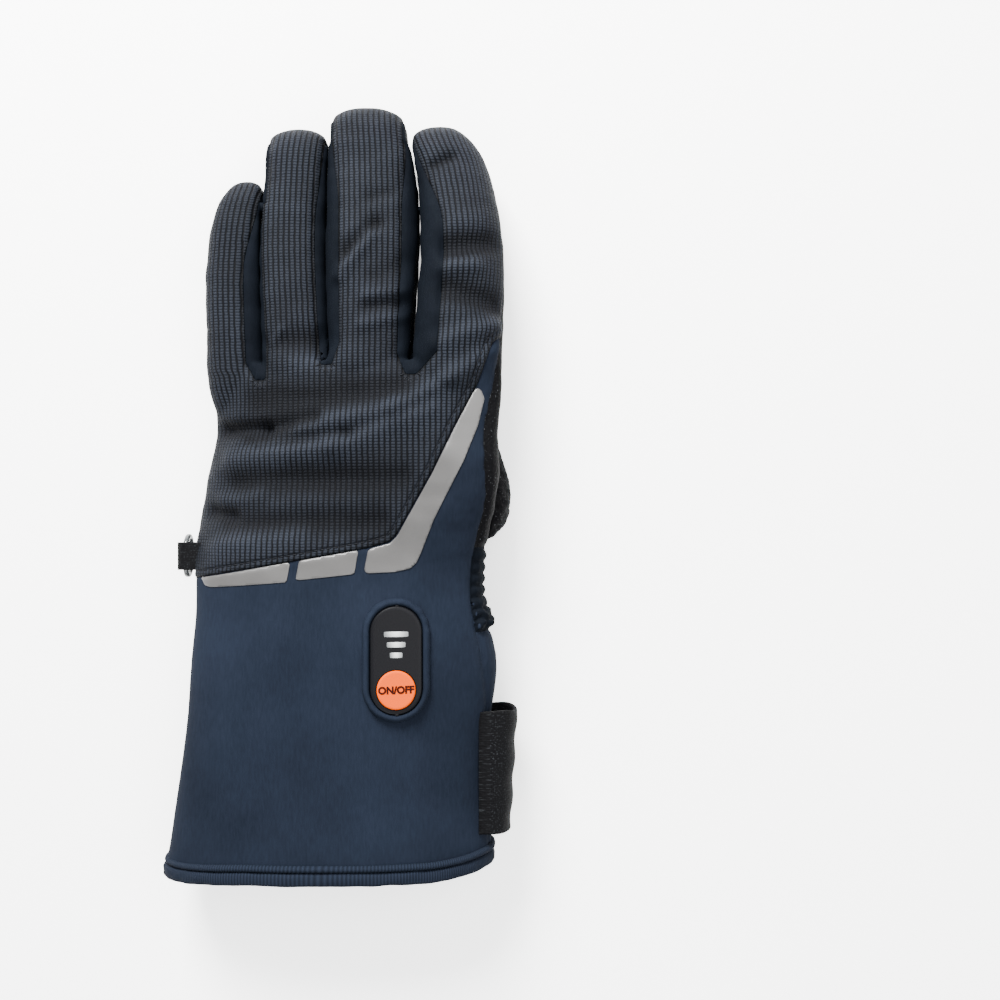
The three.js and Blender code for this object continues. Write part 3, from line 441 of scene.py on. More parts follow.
def finger_round(finger, y):
    """How far a finger has closed towards its tip, from one to nought."""
    tip = sizes().hand_length + finger.length * MM
    share = np.clip((y - tip) / (finger.rounding * MM) + 1, 0, 1)
    return (1 - share**TIP_POWER) ** (1 / TIP_POWER)


def slot_line(index, y):
    """The line between a finger and the next one."""
    left = FINGERS[index]
    side, half = finger_at(left, np.minimum(y, sizes().hand_length + left.length * MM))
    next_side, next_half = finger_at(FINGERS[index + 1], y)
    return (side + half + next_side - next_half) / 2


def loft(bm, rings):
    """Bridges rings of points into one closed surface."""
    loops = []
    for i, points in enumerate(rings):
        ends = i in (0, len(rings) - 1)
        made = bmesh.ops.create_circle(bm, cap_ends=ends, radius=1, segments=len(points))["verts"]
        for vert, point in zip(made, points):
            vert.co = point
        loops.append(list(dict.fromkeys(edge for vert in made for edge in vert.link_edges)))
    for first, second in zip(loops, loops[1:]):
        bmesh.ops.bridge_loops(bm, edges=first + second)
    return loops


def remeshed(bm, iterations):
    """Fuses overlapping lofts into one evenly divided, smoothed skin."""
    bmesh.ops.recalc_face_normals(bm, faces=bm.faces)
    mesh = bpy.data.meshes.new("draft")
    bm.to_mesh(mesh)
    bm.free()
    draft = bpy.data.objects.new("draft", mesh)
    bpy.context.scene.collection.objects.link(draft)
    fuse = draft.modifiers.new("Fuse", "REMESH")
    fuse.mode = "VOXEL"
    fuse.voxel_size = sizes().mesh_size
    relax = draft.modifiers.new("Relax", "SMOOTH")
    relax.factor = 0.5
    relax.iterations = iterations
    graph = bpy.context.evaluated_depsgraph_get()
    result = bpy.data.meshes.new_from_object(draft.evaluated_get(graph))
    bpy.data.objects.remove(draft)
    bpy.data.meshes.remove(mesh)
    return result


def positions(mesh):
    """The places of a mesh's vertices."""
    co = np.empty(len(mesh.vertices) * 3, np.float32)
    mesh.vertices.foreach_get("co", co)
    return co.reshape(-1, 3).astype(float)


def directions(mesh):
    """The normals of a mesh's vertices."""
    normal = np.empty(len(mesh.vertices) * 3, np.float32)
    mesh.vertex_normals.foreach_get("vector", normal)
    return normal.reshape(-1, 3).astype(float)


def set_positions(mesh, co):
    """Moves a mesh's vertices."""
    mesh.vertices.foreach_set("co", co.astype(np.float32).ravel())
    mesh.update()


def ripple(co, scale, seed):
    """Soft noise at each point, between about minus one and one."""
    place = co / scale + seed
    return np.array([noise.noise(Vector(point)) for point in place])


def outline_distance(x, y, points):
    """Distance to a closed outline, positive inside it."""
    best = np.full(len(x), np.inf)
    inside = np.zeros(len(x), bool)
    for (ax, ay), (bx, by) in zip(points, np.roll(points, -1, axis=0)):
        dx = bx - ax
        dy = by - ay
        t = np.clip(((x - ax) * dx + (y - ay) * dy) / (dx * dx + dy * dy), 0, 1)
        best = np.minimum(best, np.hypot(x - ax - t * dx, y - ay - t * dy))
        if dy != 0:
            crossing = ((ay > y) != (by > y)) & (x < ax + (y - ay) / dy * dx)
            inside ^= crossing
    return np.where(inside, best, -best)


def inset(points, distance):
    """An anticlockwise outline moved inwards."""
    before = points - np.roll(points, 1, axis=0)
    after = np.roll(points, -1, axis=0) - points
    before /= np.linalg.norm(before, axis=1)[:, None]
    after /= np.linalg.norm(after, axis=1)[:, None]
    outward = np.stack([before[:, 1] + after[:, 1], -before[:, 0] - after[:, 0]], axis=1)
    outward /= np.linalg.norm(outward, axis=1)[:, None]
    stretch = np.maximum(0.5, outward[:, 0] * before[:, 1] - outward[:, 1] * before[:, 0])
    return points - outward * (distance / stretch)[:, None]


def region(points, radius=0.0):
    """A plan outline with round corners, as a distance that is positive inside."""
    points = np.asarray(points, float)
    core = inset(points, radius) if radius else points
    return lambda co: outline_distance(co[:, 0], co[:, 1], core) + radius


def corners(rows):
    """Table rows as points."""
    s = sizes()
    return [(row.side * s.hand_width, row.along * s.hand_length) for row in rows]


def rib_zone():
    """The plan of the ribbed back."""
    s = sizes()
    far = 2.2 * s.reach
    edge = corners(RIB_EDGE)
    top = s.hand_length + far
    return region(edge + [(edge[-1][0], top), (edge[0][0], top)], 5 * MM)


def strip_zone(index):
    """The plan of the smooth strip between two fingers."""
    s = sizes()
    steps = 22
    left = FINGERS[index]
    right = FINGERS[index + 1]
    end = SLOT_ENDS[index] * s.hand_length
    start = end + 4 * MM

    def edge(finger, share):
        top = s.hand_length + (finger.length - 0.45 * finger.rounding) * MM
        y = start + (top - start) * np.linspace(0, 1, steps)[1:]
        side, half = finger_at(finger, y)
        closing = ramp(0.6, 1, np.linspace(0, 1, steps)[1:])
        closed = slot_line(index, y) - math.copysign(1.6 * MM, share)
        x = (side + share * half) * (1 - closing) + closed * closing
        return list(zip(x, y))

    left_edge = edge(left, left.right_seam)
    right_edge = edge(right, right.left_seam)
    crossing = [(float(slot_line(index, np.float64(y))), y) for y in (right_edge[-1][1], left_edge[-1][1])]
    middle = float(slot_line(index, np.float64(end)))
    bottom = [(middle - 2.2 * MM, end), (middle + 2.2 * MM, end)]
    return region(bottom + right_edge + crossing + left_edge[::-1], 1.2 * MM)


def surface_height(x, y):
    """Height of the cuff's back."""
    row = section_at(y)
    share = abs((x - (row.right - row.left) / 2) / ((row.right + row.left) / 2))
    return middle_height(x, y) + row.up * (1 - share**UPPER_POWER) ** (1 / UPPER_POWER)


def controller_place():
    """The controller's own frame, lying in the cuff's back."""
    t = trims()
    x = t.controller_side
    y = -t.controller_back
    step = t.controller_width / 2
    slope_x = (surface_height(x + step, y) - surface_height(x - step, y)) / (2 * step)
    slope_y = (surface_height(x, y + step) - surface_height(x, y - step)) / (2 * step)
    up = Vector((-slope_x, -slope_y, 1)).normalized()
    across = Vector((1, 0, slope_x)).normalized()
    along = up.cross(across)
    turn = Matrix((across, along, up)).transposed().to_4x4()
    return Matrix.Translation((x, y, surface_height(x, y))) @ turn


def stadium(share, width, long):
    """A point and outward direction on a stadium along Y, by share of its length."""
    radius = width / 2
    run = long / 2 - radius
    around = math.pi * radius
    total = 2 * around + 4 * run
    s = np.mod(share, 1) * total
    points = np.zeros(s.shape + (2,))
    out = np.zeros(s.shape + (2,))
    stretches = [(0, 2 * run, 0), (2 * run, around, 1), (2 * run + around, 2 * run, 2), (4 * run + around, around, 3)]
    for start, span, kind in stretches:
        on = (s >= start) & (s <= start + span)
        d = s[on] - start
        if kind == 0:
            points[on] = np.stack([np.full_like(d, radius), d - run], -1)
            out[on] = (1, 0)
        elif kind == 2:
            points[on] = np.stack([np.full_like(d, -radius), run - d], -1)
            out[on] = (-1, 0)
        else:
            angle = d / radius + (0 if kind == 1 else math.pi)
            turn = np.stack([np.cos(angle), np.sin(angle)], -1)
            points[on] = turn * radius + (0, run if kind == 1 else -run)
            out[on] = turn
    return points, out


def hem_shift(x):
    """How far the hem runs up towards the thumb's side and down towards the other."""
    share = x / sizes().cuff_width
    return 3.2 * MM * ramp(0.25, 0.5, share) - 1.8 * MM * ramp(-0.25, -0.5, share)


def panel_marks():
    """The lines that part the panels along the glove."""
    s = sizes()
    t = trims()
    hem = -s.cuff_length + t.binding_width + 0.4 * t.piping_width
    return {"hem": hem, "elastic_start": -0.06 * s.cuff_length, "elastic_end": 0.28 * s.hand_length}


def outer_form():
    """The whole outer skin of cuff, hand and fingers, with folds and seams pressed in."""
    stored = bpy.data.meshes.get("glove_form")
    if stored:
        return stored
    s = sizes()
    bm = bmesh.new()
    angle = np.arange(BODY_SIDES) * 2 * math.pi / BODY_SIDES
    end = HAND_SECTIONS[-1].along * s.hand_length
    start = CUFF_SECTIONS[0].along * s.cuff_length
    loft(bm, [body_ring(y, angle) for y in np.linspace(start, end, BODY_RINGS)])
    angle = np.arange(FINGER_SIDES) * 2 * math.pi / FINGER_SIDES
    for index, finger in enumerate(FINGERS):
        loft(bm, finger_rings(index, finger, angle))
    form = remeshed(bm, 8)
    form.name = "glove_form"
    close_slots(form)
    press_folds(form)
    press_seams(form)
    rest_on_floor(form)
    return form


def finger_rings(index, finger, angle):
    """Rings of a finger, held off its neighbours so that the skins don't fuse."""
    s = sizes()
    start = s.hand_length - s.root_blend
    tip = s.hand_length + finger.length * MM
    shoulder = tip - finger.rounding * MM
    y_values = list(np.linspace(start, shoulder, FINGER_RINGS))
    y_values += [shoulder + finger.rounding * MM * math.sin(a) for a in np.linspace(0.15, 1.5, TIP_RINGS)]
    rings = []
    c, z_share = squircle(angle, FINGER_POWER, FINGER_POWER)
    for y in y_values:
        grown = float(ramp(start - s.root_blend, start + s.root_blend, y))
        size = grown * float(finger_round(finger, y))
        side, half = finger_at(finger, y)
        x = side + half * size * c
        hold = 1.25 * s.mesh_size
        if index > 0:
            x = np.maximum(x, slot_line(index - 1, y) + hold)
        if index < len(FINGERS) - 1:
            x = np.minimum(x, slot_line(index, y) - hold)
        z = middle_height(side, y) + finger.thickness * MM / 2 * size * z_share
        rings.append(np.stack([x, np.full_like(x, y), z], axis=-1))
    return rings


def close_slots(form):
    """Brings neighbouring fingers together again after the skins were fused."""
    s = sizes()
    co = positions(form)
    fade = ramp(s.hand_length, s.hand_length + 6 * MM, co[:, 1])
    hold = 1.25 * s.mesh_size
    for index in range(len(FINGERS) - 1):
        gap = s.finger_gap * (1.8 if index == 2 else 1) / 2
        offset = co[:, 0] - slot_line(index, co[:, 1])
        near = 1 - ramp(hold, 9 * hold, np.abs(offset))
        co[:, 0] -= np.sign(offset) * (hold - gap) * near * fade
    set_positions(form, co)


def press_folds(form):
    """Presses the folds of the table into the back, and softer ripples all over."""
    s = sizes()
    co = positions(form)
    normal = directions(form)
    x, y, _ = co.T
    depth = np.zeros(len(co))
    for fold in FOLDS:
        ax, ay = fold.side1 * s.hand_width, fold.along1 * s.hand_length
        dx = fold.side2 * s.hand_width - ax
        dy = fold.along2 * s.hand_length - ay
        share = np.clip(((x - ax) * dx + (y - ay) * dy) / (dx * dx + dy * dy), 0, 1)
        away = np.hypot(x - ax - share * dx, y - ay - share * dy)
        depth += 1.5 * fold.depth * s.hand_height * bell(away, fold.width * s.hand_height)
    depth *= ramp(0.15, 0.75, normal[:, 2])
    hand = ramp(0.05 * s.hand_length, 0.35 * s.hand_length, y)
    stretched = co * (0.55, 1.0, 0.8)
    depth += ripple(stretched, 11 * MM, 3.7) * 0.55 * MM * hand
    depth += ripple(stretched, 5.5 * MM, 9.1) * 0.22 * MM * hand
    depth += ripple(co, 34 * MM, 5.2) * 0.9 * MM * (1 - hand)
    under = ramp(0.1, -0.4, normal[:, 2]) * hand
    depth += ripple(co * (0.5, 1.3, 1), 8 * MM, 1.3) * 0.8 * MM * under
    set_positions(form, co + normal * depth[:, None])
    mark(form, "fold_mm", depth / MM)


def press_seams(form):
    """Pulls the skin in along every seam between two panels."""
    s = sizes()
    marks = panel_marks()
    co = positions(form)
    normal = directions(form)
    rib = rib_zone()(co)
    back = above_seam(co)
    strips = np.max([strip_zone(i)(co) for i in range(3)], axis=0)
    on_back = back > 0
    distance = np.minimum(np.abs(back), np.abs(strips))
    palm_lines = [np.abs(co[:, 1] - marks[name]) for name in ("elastic_start", "elastic_end")]
    distance = np.where(on_back, distance, np.minimum(distance, np.min(palm_lines, axis=0)))
    pucker = 1 + 0.35 * ripple(co, 3.2 * MM, 7.7)
    depth = -s.seam_depth * bell(distance, s.seam_width) * pucker
    depth -= np.where(on_back, 0.25 * MM * bell(rib, 0.8 * MM), 0)
    depth += elastic_rows(co) * np.where(on_back, 0, 1)
    place = controller_place()
    local = (co - np.array(place.translation)) @ np.array(place.to_3x3())
    window = stadium_distance(local[:, 0], local[:, 1])
    raised = np.where(co[:, 2] > s.cuff_height * 0.6, 1, 0)
    depth += raised * 0.5 * MM * bell(np.maximum(window, 0), 7 * MM)
    set_positions(form, co + normal * depth[:, None])


def elastic_rows(co):
    """Tunnels of the shirred elastic across the palm side of the wrist."""
    marks = panel_marks()
    y = co[:, 1]
    inside = ramp(0, 2 * MM, y - marks["elastic_start"]) * ramp(0, 2 * MM, marks["elastic_end"] - y)
    rows = np.abs(np.sin(math.pi * (y - marks["elastic_start"]) / (4.6 * MM)))
    gathers = 0.5 + 0.5 * ripple(co * (2.2, 0.35, 1), 2.6 * MM, 4.4)
    bunched = bell(y - marks["elastic_start"] - 4 * MM, 5 * MM) * ramp(0.38, 0.46, co[:, 0] / sizes().hand_width)
    crumpled = 1.6 + 2.2 * ripple(co, 2.4 * MM, 5.5)
    return inside * (1.1 * rows + 0.5 * gathers - 0.6 + bunched * crumpled) * MM


def stadium_distance(x, y):
    """Distance outside the controller's window."""
    t = trims()
    run = (t.controller_length - t.controller_width) / 2
    return np.hypot(x, y - np.clip(y, -run, run)) - t.controller_width / 2


def rest_on_floor(form):
    """Flattens what lies on the floor."""
    co = positions(form)
    soft = 0.8 * MM
    z = co[:, 2]
    co[:, 2] = np.where(z > soft, z, soft * np.exp((z - soft) / soft))
    set_positions(form, co)


def trim(bm, field):
    """Cuts a mesh where the field is nought and keeps the part where it is positive."""
    bm.verts.index_update()
    co = np.array([vert.co for vert in bm.verts])
    if not len(co):
        return
    value = field(co)
    if np.all(value > 0):
        return
    layer = bm.verts.layers.float.get("side") or bm.verts.layers.float.new("side")
    for vert, number in zip(bm.verts, value.tolist()):
        vert[layer] = number
    crossing = [e for e in bm.edges if e.verts[0][layer] * e.verts[1][layer] < 0]
    # A corner close to the line moves on to it, so that no sliver is left
    for edge in crossing:
        first, second = edge.verts
        if first[layer] * second[layer] >= 0:
            continue
        share = first[layer] / (first[layer] - second[layer])
        if share < 0.2:
            first.co = first.co.lerp(second.co, share)
            first[layer] = 0
        elif share > 0.8:
            second.co = first.co.lerp(second.co, share)
            second[layer] = 0
    fresh = [vert for vert in bm.verts if vert[layer] == 0]
    for edge in crossing:
        first, second = edge.verts
        if first[layer] * second[layer] < 0:
            share = first[layer] / (first[layer] - second[layer])
            vert = bmesh.utils.edge_split(edge, first, share)[1]
            vert[layer] = 0
            fresh.append(vert)
    bmesh.ops.connect_verts(bm, verts=fresh)
    dropped = [face for face in bm.faces if sum(vert[layer] for vert in face.verts) <= 0]
    bmesh.ops.delete(bm, geom=dropped, context="FACES")


def cut_panel(fields, source=None):
    """A copy of the skin, cut to where all the fields are positive."""
    bm = bmesh.new()
    bm.from_mesh(source or outer_form())
    for field in fields:
        trim(bm, field)
    return bm


def refine(bm, field, reach):
    """Divides the faces near an edge once more."""
    bm.verts.index_update()
    co = np.array([vert.co for vert in bm.verts])
    near = (np.abs(field(co)) < reach).tolist()
    edges = [e for e in bm.edges if near[e.verts[0].index] and near[e.verts[1].index]]
    bmesh.ops.subdivide_edges(bm, edges=edges, cuts=1, use_grid_fill=True)


def mesh_from(bm, name, crisp=None):
    """Turns a bmesh into a smooth mesh, with its edges crisp where they bend by more than an angle."""
    mesh = bpy.data.meshes.new(name)
    bm.to_mesh(mesh)
    bm.free()
    mesh.shade_smooth()
    if crisp:
        mesh.set_sharp_from_angle(angle=math.radians(crisp))
    return mesh


def map_weave(mesh, u, v, period=0.0):
    """Lays a map in millimetres over a mesh, so that a weave follows the cloth."""
    layer = mesh.uv_layers.new(name="weave")
    corner = np.empty(len(mesh.loops), np.int32)
    mesh.loops.foreach_get("vertex_index", corner)
    along = (u / MM)[corner]
    across = (v / MM)[corner]
    if period:
        total = np.empty(len(mesh.polygons), np.int32)
        start = np.empty(len(mesh.polygons), np.int32)
        mesh.polygons.foreach_get("loop_total", total)
        mesh.polygons.foreach_get("loop_start", start)
        first = np.repeat(along[start], total)
        turn = period / MM
        along = along - turn * np.round((along - first) / turn)
    layer.data.foreach_set("uv", np.stack([along, across], -1).astype(np.float32).ravel())


def mark(mesh, name, value):
    """Stores a number at each vertex for the materials."""
    attribute = mesh.attributes.new(name, "FLOAT", "POINT")
    attribute.data.foreach_set("value", value.astype(np.float32))


def fit(mesh, name, material, nodes, body=BODY, wall=None):
    """Puts a mesh made round the wrist line into the glove, on its body, and hides the model's parts that it stands in
    for.
    """
    mesh.transform(Matrix.Translation((MIDDLE_X, wrist_y(), 0)))
    piece = bpy.data.objects.new(name, mesh)
    bpy.context.scene.collection.objects.link(piece)
    mesh.materials.append(material)
    if wall:
        thicken = piece.modifiers.new("Wall", "SOLIDIFY")
        thicken.thickness = wall
        thicken.offset = -1
        thicken.use_rim = True
    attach(piece, body)
    if nodes:
        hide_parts(*nodes)
    return piece


def add(tree, kind, inputs=None, **settings):
    """Adds a node with its settings, values and links."""
    node = tree.nodes.new(kind)
    for name, value in settings.items():
        setattr(node, name, value)
    for key, value in (inputs or {}).items():
        if isinstance(value, bpy.types.NodeSocket):
            tree.links.new(value, node.inputs[key])
        else:
            node.inputs[key].default_value = value
    return node


def new_material(name, values):
    """A material with its uniform values set on the shader's own sockets."""
    material = bpy.data.materials.new(name)
    material.use_nodes = True
    shader = material.node_tree.nodes["Principled BSDF"]
    for socket, value in values.items():
        shader.inputs[socket].default_value = value
    return material, material.node_tree, shader


def waffle_knit():
    """Polyester waffle knit: raised cells between grooves darkened with painted shade, with the faint sheen of
    synthetic yarn.
    """
    c = colours()
    values = {"Roughness": 0.75, "Specular IOR Level": 0.05}
    material, tree, shader = new_material("polyester_waffle_knit", values)
    uv = add(tree, "ShaderNodeUVMap", uv_map="weave")
    # The yarn wanders by about a tenth of a millimetre
    wander = add(tree, "ShaderNodeTexNoise", {"Vector": uv.outputs[0], "Scale": 0.35, "Detail": 1.0})
    shift = add(tree, "ShaderNodeVectorMath", {0: wander.outputs["Color"], 1: (0.5, 0.5, 0.5)}, operation="SUBTRACT")
    small = add(tree, "ShaderNodeVectorMath", {0: shift.outputs[0], "Scale": 0.55}, operation="SCALE")
    moved = add(tree, "ShaderNodeVectorMath", {0: uv.outputs[0], 1: small.outputs[0]})
    split = add(tree, "ShaderNodeSeparateXYZ", {0: moved.outputs[0]})
    # Columns are 2.2 mm apart and rows 1.2 mm, as on the real cloth
    column = add(tree, "ShaderNodeMath", {0: split.outputs[0], 1: 1.1}, operation="PINGPONG")
    row = add(tree, "ShaderNodeMath", {0: split.outputs[1], 1: 0.6}, operation="PINGPONG")
    ridge = add(tree, "ShaderNodeMapRange", {0: column.outputs[0], 1: 0.05, 2: 0.62}, interpolation_type="SMOOTHSTEP")
    step = add(tree, "ShaderNodeMapRange", {0: row.outputs[0], 1: 0.02, 2: 0.42}, interpolation_type="SMOOTHSTEP")
    part = add(tree, "ShaderNodeMapRange", {0: step.outputs[0], 3: 0.58, 4: 1.0})
    height = add(tree, "ShaderNodeMath", {0: ridge.outputs[0], 1: part.outputs[0]}, operation="MULTIPLY")
    # Soft noise makes some large patches of the knit lighter than others
    patch = add(tree, "ShaderNodeTexNoise", {"Vector": uv.outputs[0], "Scale": 0.06, "Detail": 3.0})
    patch_tone = add(tree, "ShaderNodeMapRange", {0: patch.outputs[0], 1: 0.3, 2: 0.7, 3: 0.62, 4: 1.0})
    # Painted shade in the folds' dips and painted light on their crests, read from the fold depth
    fold = add(tree, "ShaderNodeAttribute", attribute_name="fold_mm")
    painted_fold_light_and_shade = add(tree, "ShaderNodeMapRange", {0: fold.outputs["Fac"], 1: -1.6, 2: 1.4, 3: 0.3, 4: 1.45})
    both = add(tree, "ShaderNodeMath", {0: patch_tone.outputs[0], 1: painted_fold_light_and_shade.outputs[0]}, operation="MULTIPLY")
    share = add(tree, "ShaderNodeMath", {0: height.outputs[0], 1: both.outputs[0]}, operation="MULTIPLY")
    # Painted shade: the grooves take the near-black groove colour and the raised cells the lighter top colour
    cloth = add(tree, "ShaderNodeMix", {0: share.outputs[0], 6: c.rib_groove_painted_shade, 7: c.rib_top}, data_type="RGBA")
    # Painted shade darkens the cloth within a millimetre of each seam, where it dips into the seam's groove
    seam = add(tree, "ShaderNodeAttribute", attribute_name="seam_mm")
    clear = add(tree, "ShaderNodeMapRange", {0: seam.outputs["Fac"], 1: 0.1, 2: 1.0, 3: 0.35, 4: 1.0})
    shade = add(
        tree, "ShaderNodeMix", {0: 1.0, 6: cloth.outputs[2], 7: clear.outputs[0]},
        data_type="RGBA", blend_type="MULTIPLY",
    )
    tree.links.new(shade.outputs[2], shader.inputs["Base Color"])
    # A shallow line runs under the stitches along the folded edge
    hem = add(tree, "ShaderNodeAttribute", attribute_name="hem_mm")
    off = add(tree, "ShaderNodeMath", {0: hem.outputs["Fac"], 1: trims().stitch_inset / MM}, operation="SUBTRACT")
    near = add(tree, "ShaderNodeMath", {0: off.outputs[0]}, operation="ABSOLUTE")
    line = add(tree, "ShaderNodeMapRange", {0: near.outputs[0], 1: 0.1, 2: 0.9}, interpolation_type="SMOOTHSTEP")
    pressed = add(tree, "ShaderNodeMath", {0: height.outputs[0], 1: line.outputs[0]}, operation="MULTIPLY")
    fine = add(tree, "ShaderNodeTexNoise", {"Vector": uv.outputs[0], "Scale": 3.0, "Detail": 2.0})
    rough = add(tree, "ShaderNodeMath", {0: fine.outputs[0], 1: 0.18, 2: pressed.outputs[0]}, operation="MULTIPLY_ADD")
    bump = add(tree, "ShaderNodeBump", {"Strength": 0.9, "Distance": 0.45 * MM, "Height": rough.outputs[0]})
    tree.links.new(bump.outputs[0], shader.inputs["Normal"])
    return material


def plain_cloth(name, tone, roughness, grain):
    """Smooth knitted cloth: an even matte face with a faint upright grain and soft mottling."""
    values = {"Roughness": roughness, "Specular IOR Level": 0.02}
    material, tree, shader = new_material(name, values)
    place = add(tree, "ShaderNodeTexCoord")
    # The knit's wales are 0.8 mm apart, drawn as noise stretched along them
    stretch = add(tree, "ShaderNodeMapping", {"Vector": place.outputs["Object"], "Scale": (1300, 260, 700)})
    wales = add(tree, "ShaderNodeTexNoise", {"Vector": stretch.outputs[0], "Scale": 1.0, "Detail": 2.0})
    patch = add(tree, "ShaderNodeTexNoise", {"Vector": place.outputs["Object"], "Scale": 28.0, "Detail": 3.0})
    both = add(tree, "ShaderNodeMath", {0: wales.outputs[0], 1: 0.5, 2: patch.outputs[0]}, operation="MULTIPLY_ADD")
    share = add(tree, "ShaderNodeMapRange", {0: both.outputs[0], 1: 0.45, 2: 1.05})
    dark = tuple(value * 0.72 for value in tone[:3]) + (1,)
    light = tuple(min(1, value * 1.3) for value in tone[:3]) + (1,)
    cloth = add(tree, "ShaderNodeMix", {0: share.outputs[0], 6: dark, 7: light}, data_type="RGBA")
    tree.links.new(cloth.outputs[2], shader.inputs["Base Color"])
    bump = add(tree, "ShaderNodeBump", {"Strength": grain, "Distance": 0.12 * MM, "Height": wales.outputs[0]})
    tree.links.new(bump.outputs[0], shader.inputs["Normal"])
    return material


def grip_cloth():
    """Black coated grip cloth: a pebbled face with small light specks, painted glints where the coating would catch
    light.
    """
    values = {"Roughness": 0.75, "Specular IOR Level": 0.04}
    material, tree, shader = new_material("polyurethane_grip_cloth", values)
    place = add(tree, "ShaderNodeTexCoord")
    # Pebbles are 1.1 mm across
    pebble = add(tree, "ShaderNodeTexVoronoi", {"Vector": place.outputs["Object"], "Scale": 900.0})
    glint_speck_noise = add(tree, "ShaderNodeTexNoise", {"Vector": place.outputs["Object"], "Scale": 1500.0, "Detail": 1.0})
    # Painted glints: light specks mixed into the black cloth's colour
    painted_glint_mask = add(tree, "ShaderNodeMapRange", {0: glint_speck_noise.outputs[0], 1: 0.69, 2: 0.76})
    tone = add(
        tree, "ShaderNodeMix", {0: painted_glint_mask.outputs[0], 6: colours().palm, 7: linear("#3a3c3e")}, data_type="RGBA"
    )
    tree.links.new(tone.outputs[2], shader.inputs["Base Color"])
    bump = add(
        tree, "ShaderNodeBump", {"Strength": 0.7, "Distance": 0.3 * MM, "Height": pebble.outputs["Distance"]}
    )
    tree.links.new(bump.outputs[0], shader.inputs["Normal"])
    return material


def ribbed_tape(name, tone, pitch):
    """Narrow woven tape: fine ribs across it, a matte thread face, and painted light and shade that make the crowns
    slightly lighter and the hollows darker.
    """
    values = {"Roughness": 0.85, "Specular IOR Level": 0.03}
    material, tree, shader = new_material(name, values)
    uv = add(tree, "ShaderNodeUVMap", uv_map="weave")
    split = add(tree, "ShaderNodeSeparateXYZ", {0: uv.outputs[0]})
    wave = add(tree, "ShaderNodeMath", {0: split.outputs[0], 1: pitch / 2}, operation="PINGPONG")
    rib = add(tree, "ShaderNodeMapRange", {0: wave.outputs[0], 1: 0.0, 2: pitch / 2}, interpolation_type="SMOOTHSTEP")
    dark = tuple(value * 0.7 for value in tone[:3]) + (1,)
    light = tuple(min(1, value * 1.3) for value in tone[:3]) + (1,)
    # Painted light and shade: the ribs' crowns take the lighter tone and their hollows the darker one
    cloth = add(tree, "ShaderNodeMix", {0: rib.outputs[0], 6: dark, 7: light}, data_type="RGBA")
    tree.links.new(cloth.outputs[2], shader.inputs["Base Color"])
    bump = add(tree, "ShaderNodeBump", {"Strength": 0.7, "Distance": 0.25 * MM, "Height": rib.outputs[0]})
    tree.links.new(bump.outputs[0], shader.inputs["Normal"])
    return material


def woven_webbing():
    """Black polyester webbing: a basket weave of coarse yarns with broken painted glints."""
    values = {"Roughness": 0.75, "Specular IOR Level": 0.05}
    material, tree, shader = new_material("polyester_webbing", values)
    uv = add(tree, "ShaderNodeUVMap", uv_map="weave")
    # Yarns are 1.3 mm wide and 0.9 mm apart along the strap
    brick = add(
        tree, "ShaderNodeTexBrick",
        {"Vector": uv.outputs[0], "Color1": (1, 1, 1, 1), "Color2": (0.6, 0.6, 0.6, 1), "Mortar": (0, 0, 0, 1),
         "Scale": 1.0, "Mortar Size": 0.12, "Mortar Smooth": 1.0, "Brick Width": 1.3, "Row Height": 0.9},
    )
    # Painted glints: light flecks mixed into the yarns' colour where they would catch light
    glint_speck_noise = add(tree, "ShaderNodeTexNoise", {"Vector": uv.outputs[0], "Scale": 1.6, "Detail": 2.0})
    glint = add(tree, "ShaderNodeMapRange", {0: glint_speck_noise.outputs[0], 1: 0.56, 2: 0.7})
    both = add(tree, "ShaderNodeMath", {0: glint.outputs[0], 1: brick.outputs[0]}, operation="MULTIPLY")
    tone = add(
        tree, "ShaderNodeMix", {0: both.outputs[0], 6: colours().webbing, 7: linear("#222426")}, data_type="RGBA"
    )
    tree.links.new(tone.outputs[2], shader.inputs["Base Color"])
    bump = add(tree, "ShaderNodeBump", {"Strength": 0.8, "Distance": 0.3 * MM, "Height": brick.outputs[0]})
    tree.links.new(bump.outputs[0], shader.inputs["Normal"])
    return material


def transfer_film():
    """Glass-bead transfer film: a flat grey face with very fine grain and faint rubbed patches."""
    values = {"Metallic": 0.25, "Roughness": 0.42}
    material, tree, shader = new_material("glass_bead_film", values)
    place = add(tree, "ShaderNodeTexCoord")
    bead = add(tree, "ShaderNodeTexNoise", {"Vector": place.outputs["Object"], "Scale": 2600.0, "Detail": 1.0})
    patch = add(tree, "ShaderNodeTexNoise", {"Vector": place.outputs["Object"], "Scale": 60.0, "Detail": 4.0})
    both = add(tree, "ShaderNodeMath", {0: bead.outputs[0], 1: 0.5, 2: patch.outputs[0]}, operation="MULTIPLY_ADD")
    share = add(tree, "ShaderNodeMapRange", {0: both.outputs[0], 1: 0.5, 2: 1.0})
    tone = colours().film
    dark = tuple(value * 0.8 for value in tone[:3]) + (1,)
    grey = add(tree, "ShaderNodeMix", {0: share.outputs[0], 6: dark, 7: tone}, data_type="RGBA")
    tree.links.new(grey.outputs[2], shader.inputs["Base Color"])
    bump = add(tree, "ShaderNodeBump", {"Strength": 0.25, "Distance": 0.05 * MM, "Height": bead.outputs[0]})
    tree.links.new(bump.outputs[0], shader.inputs["Normal"])
    return material


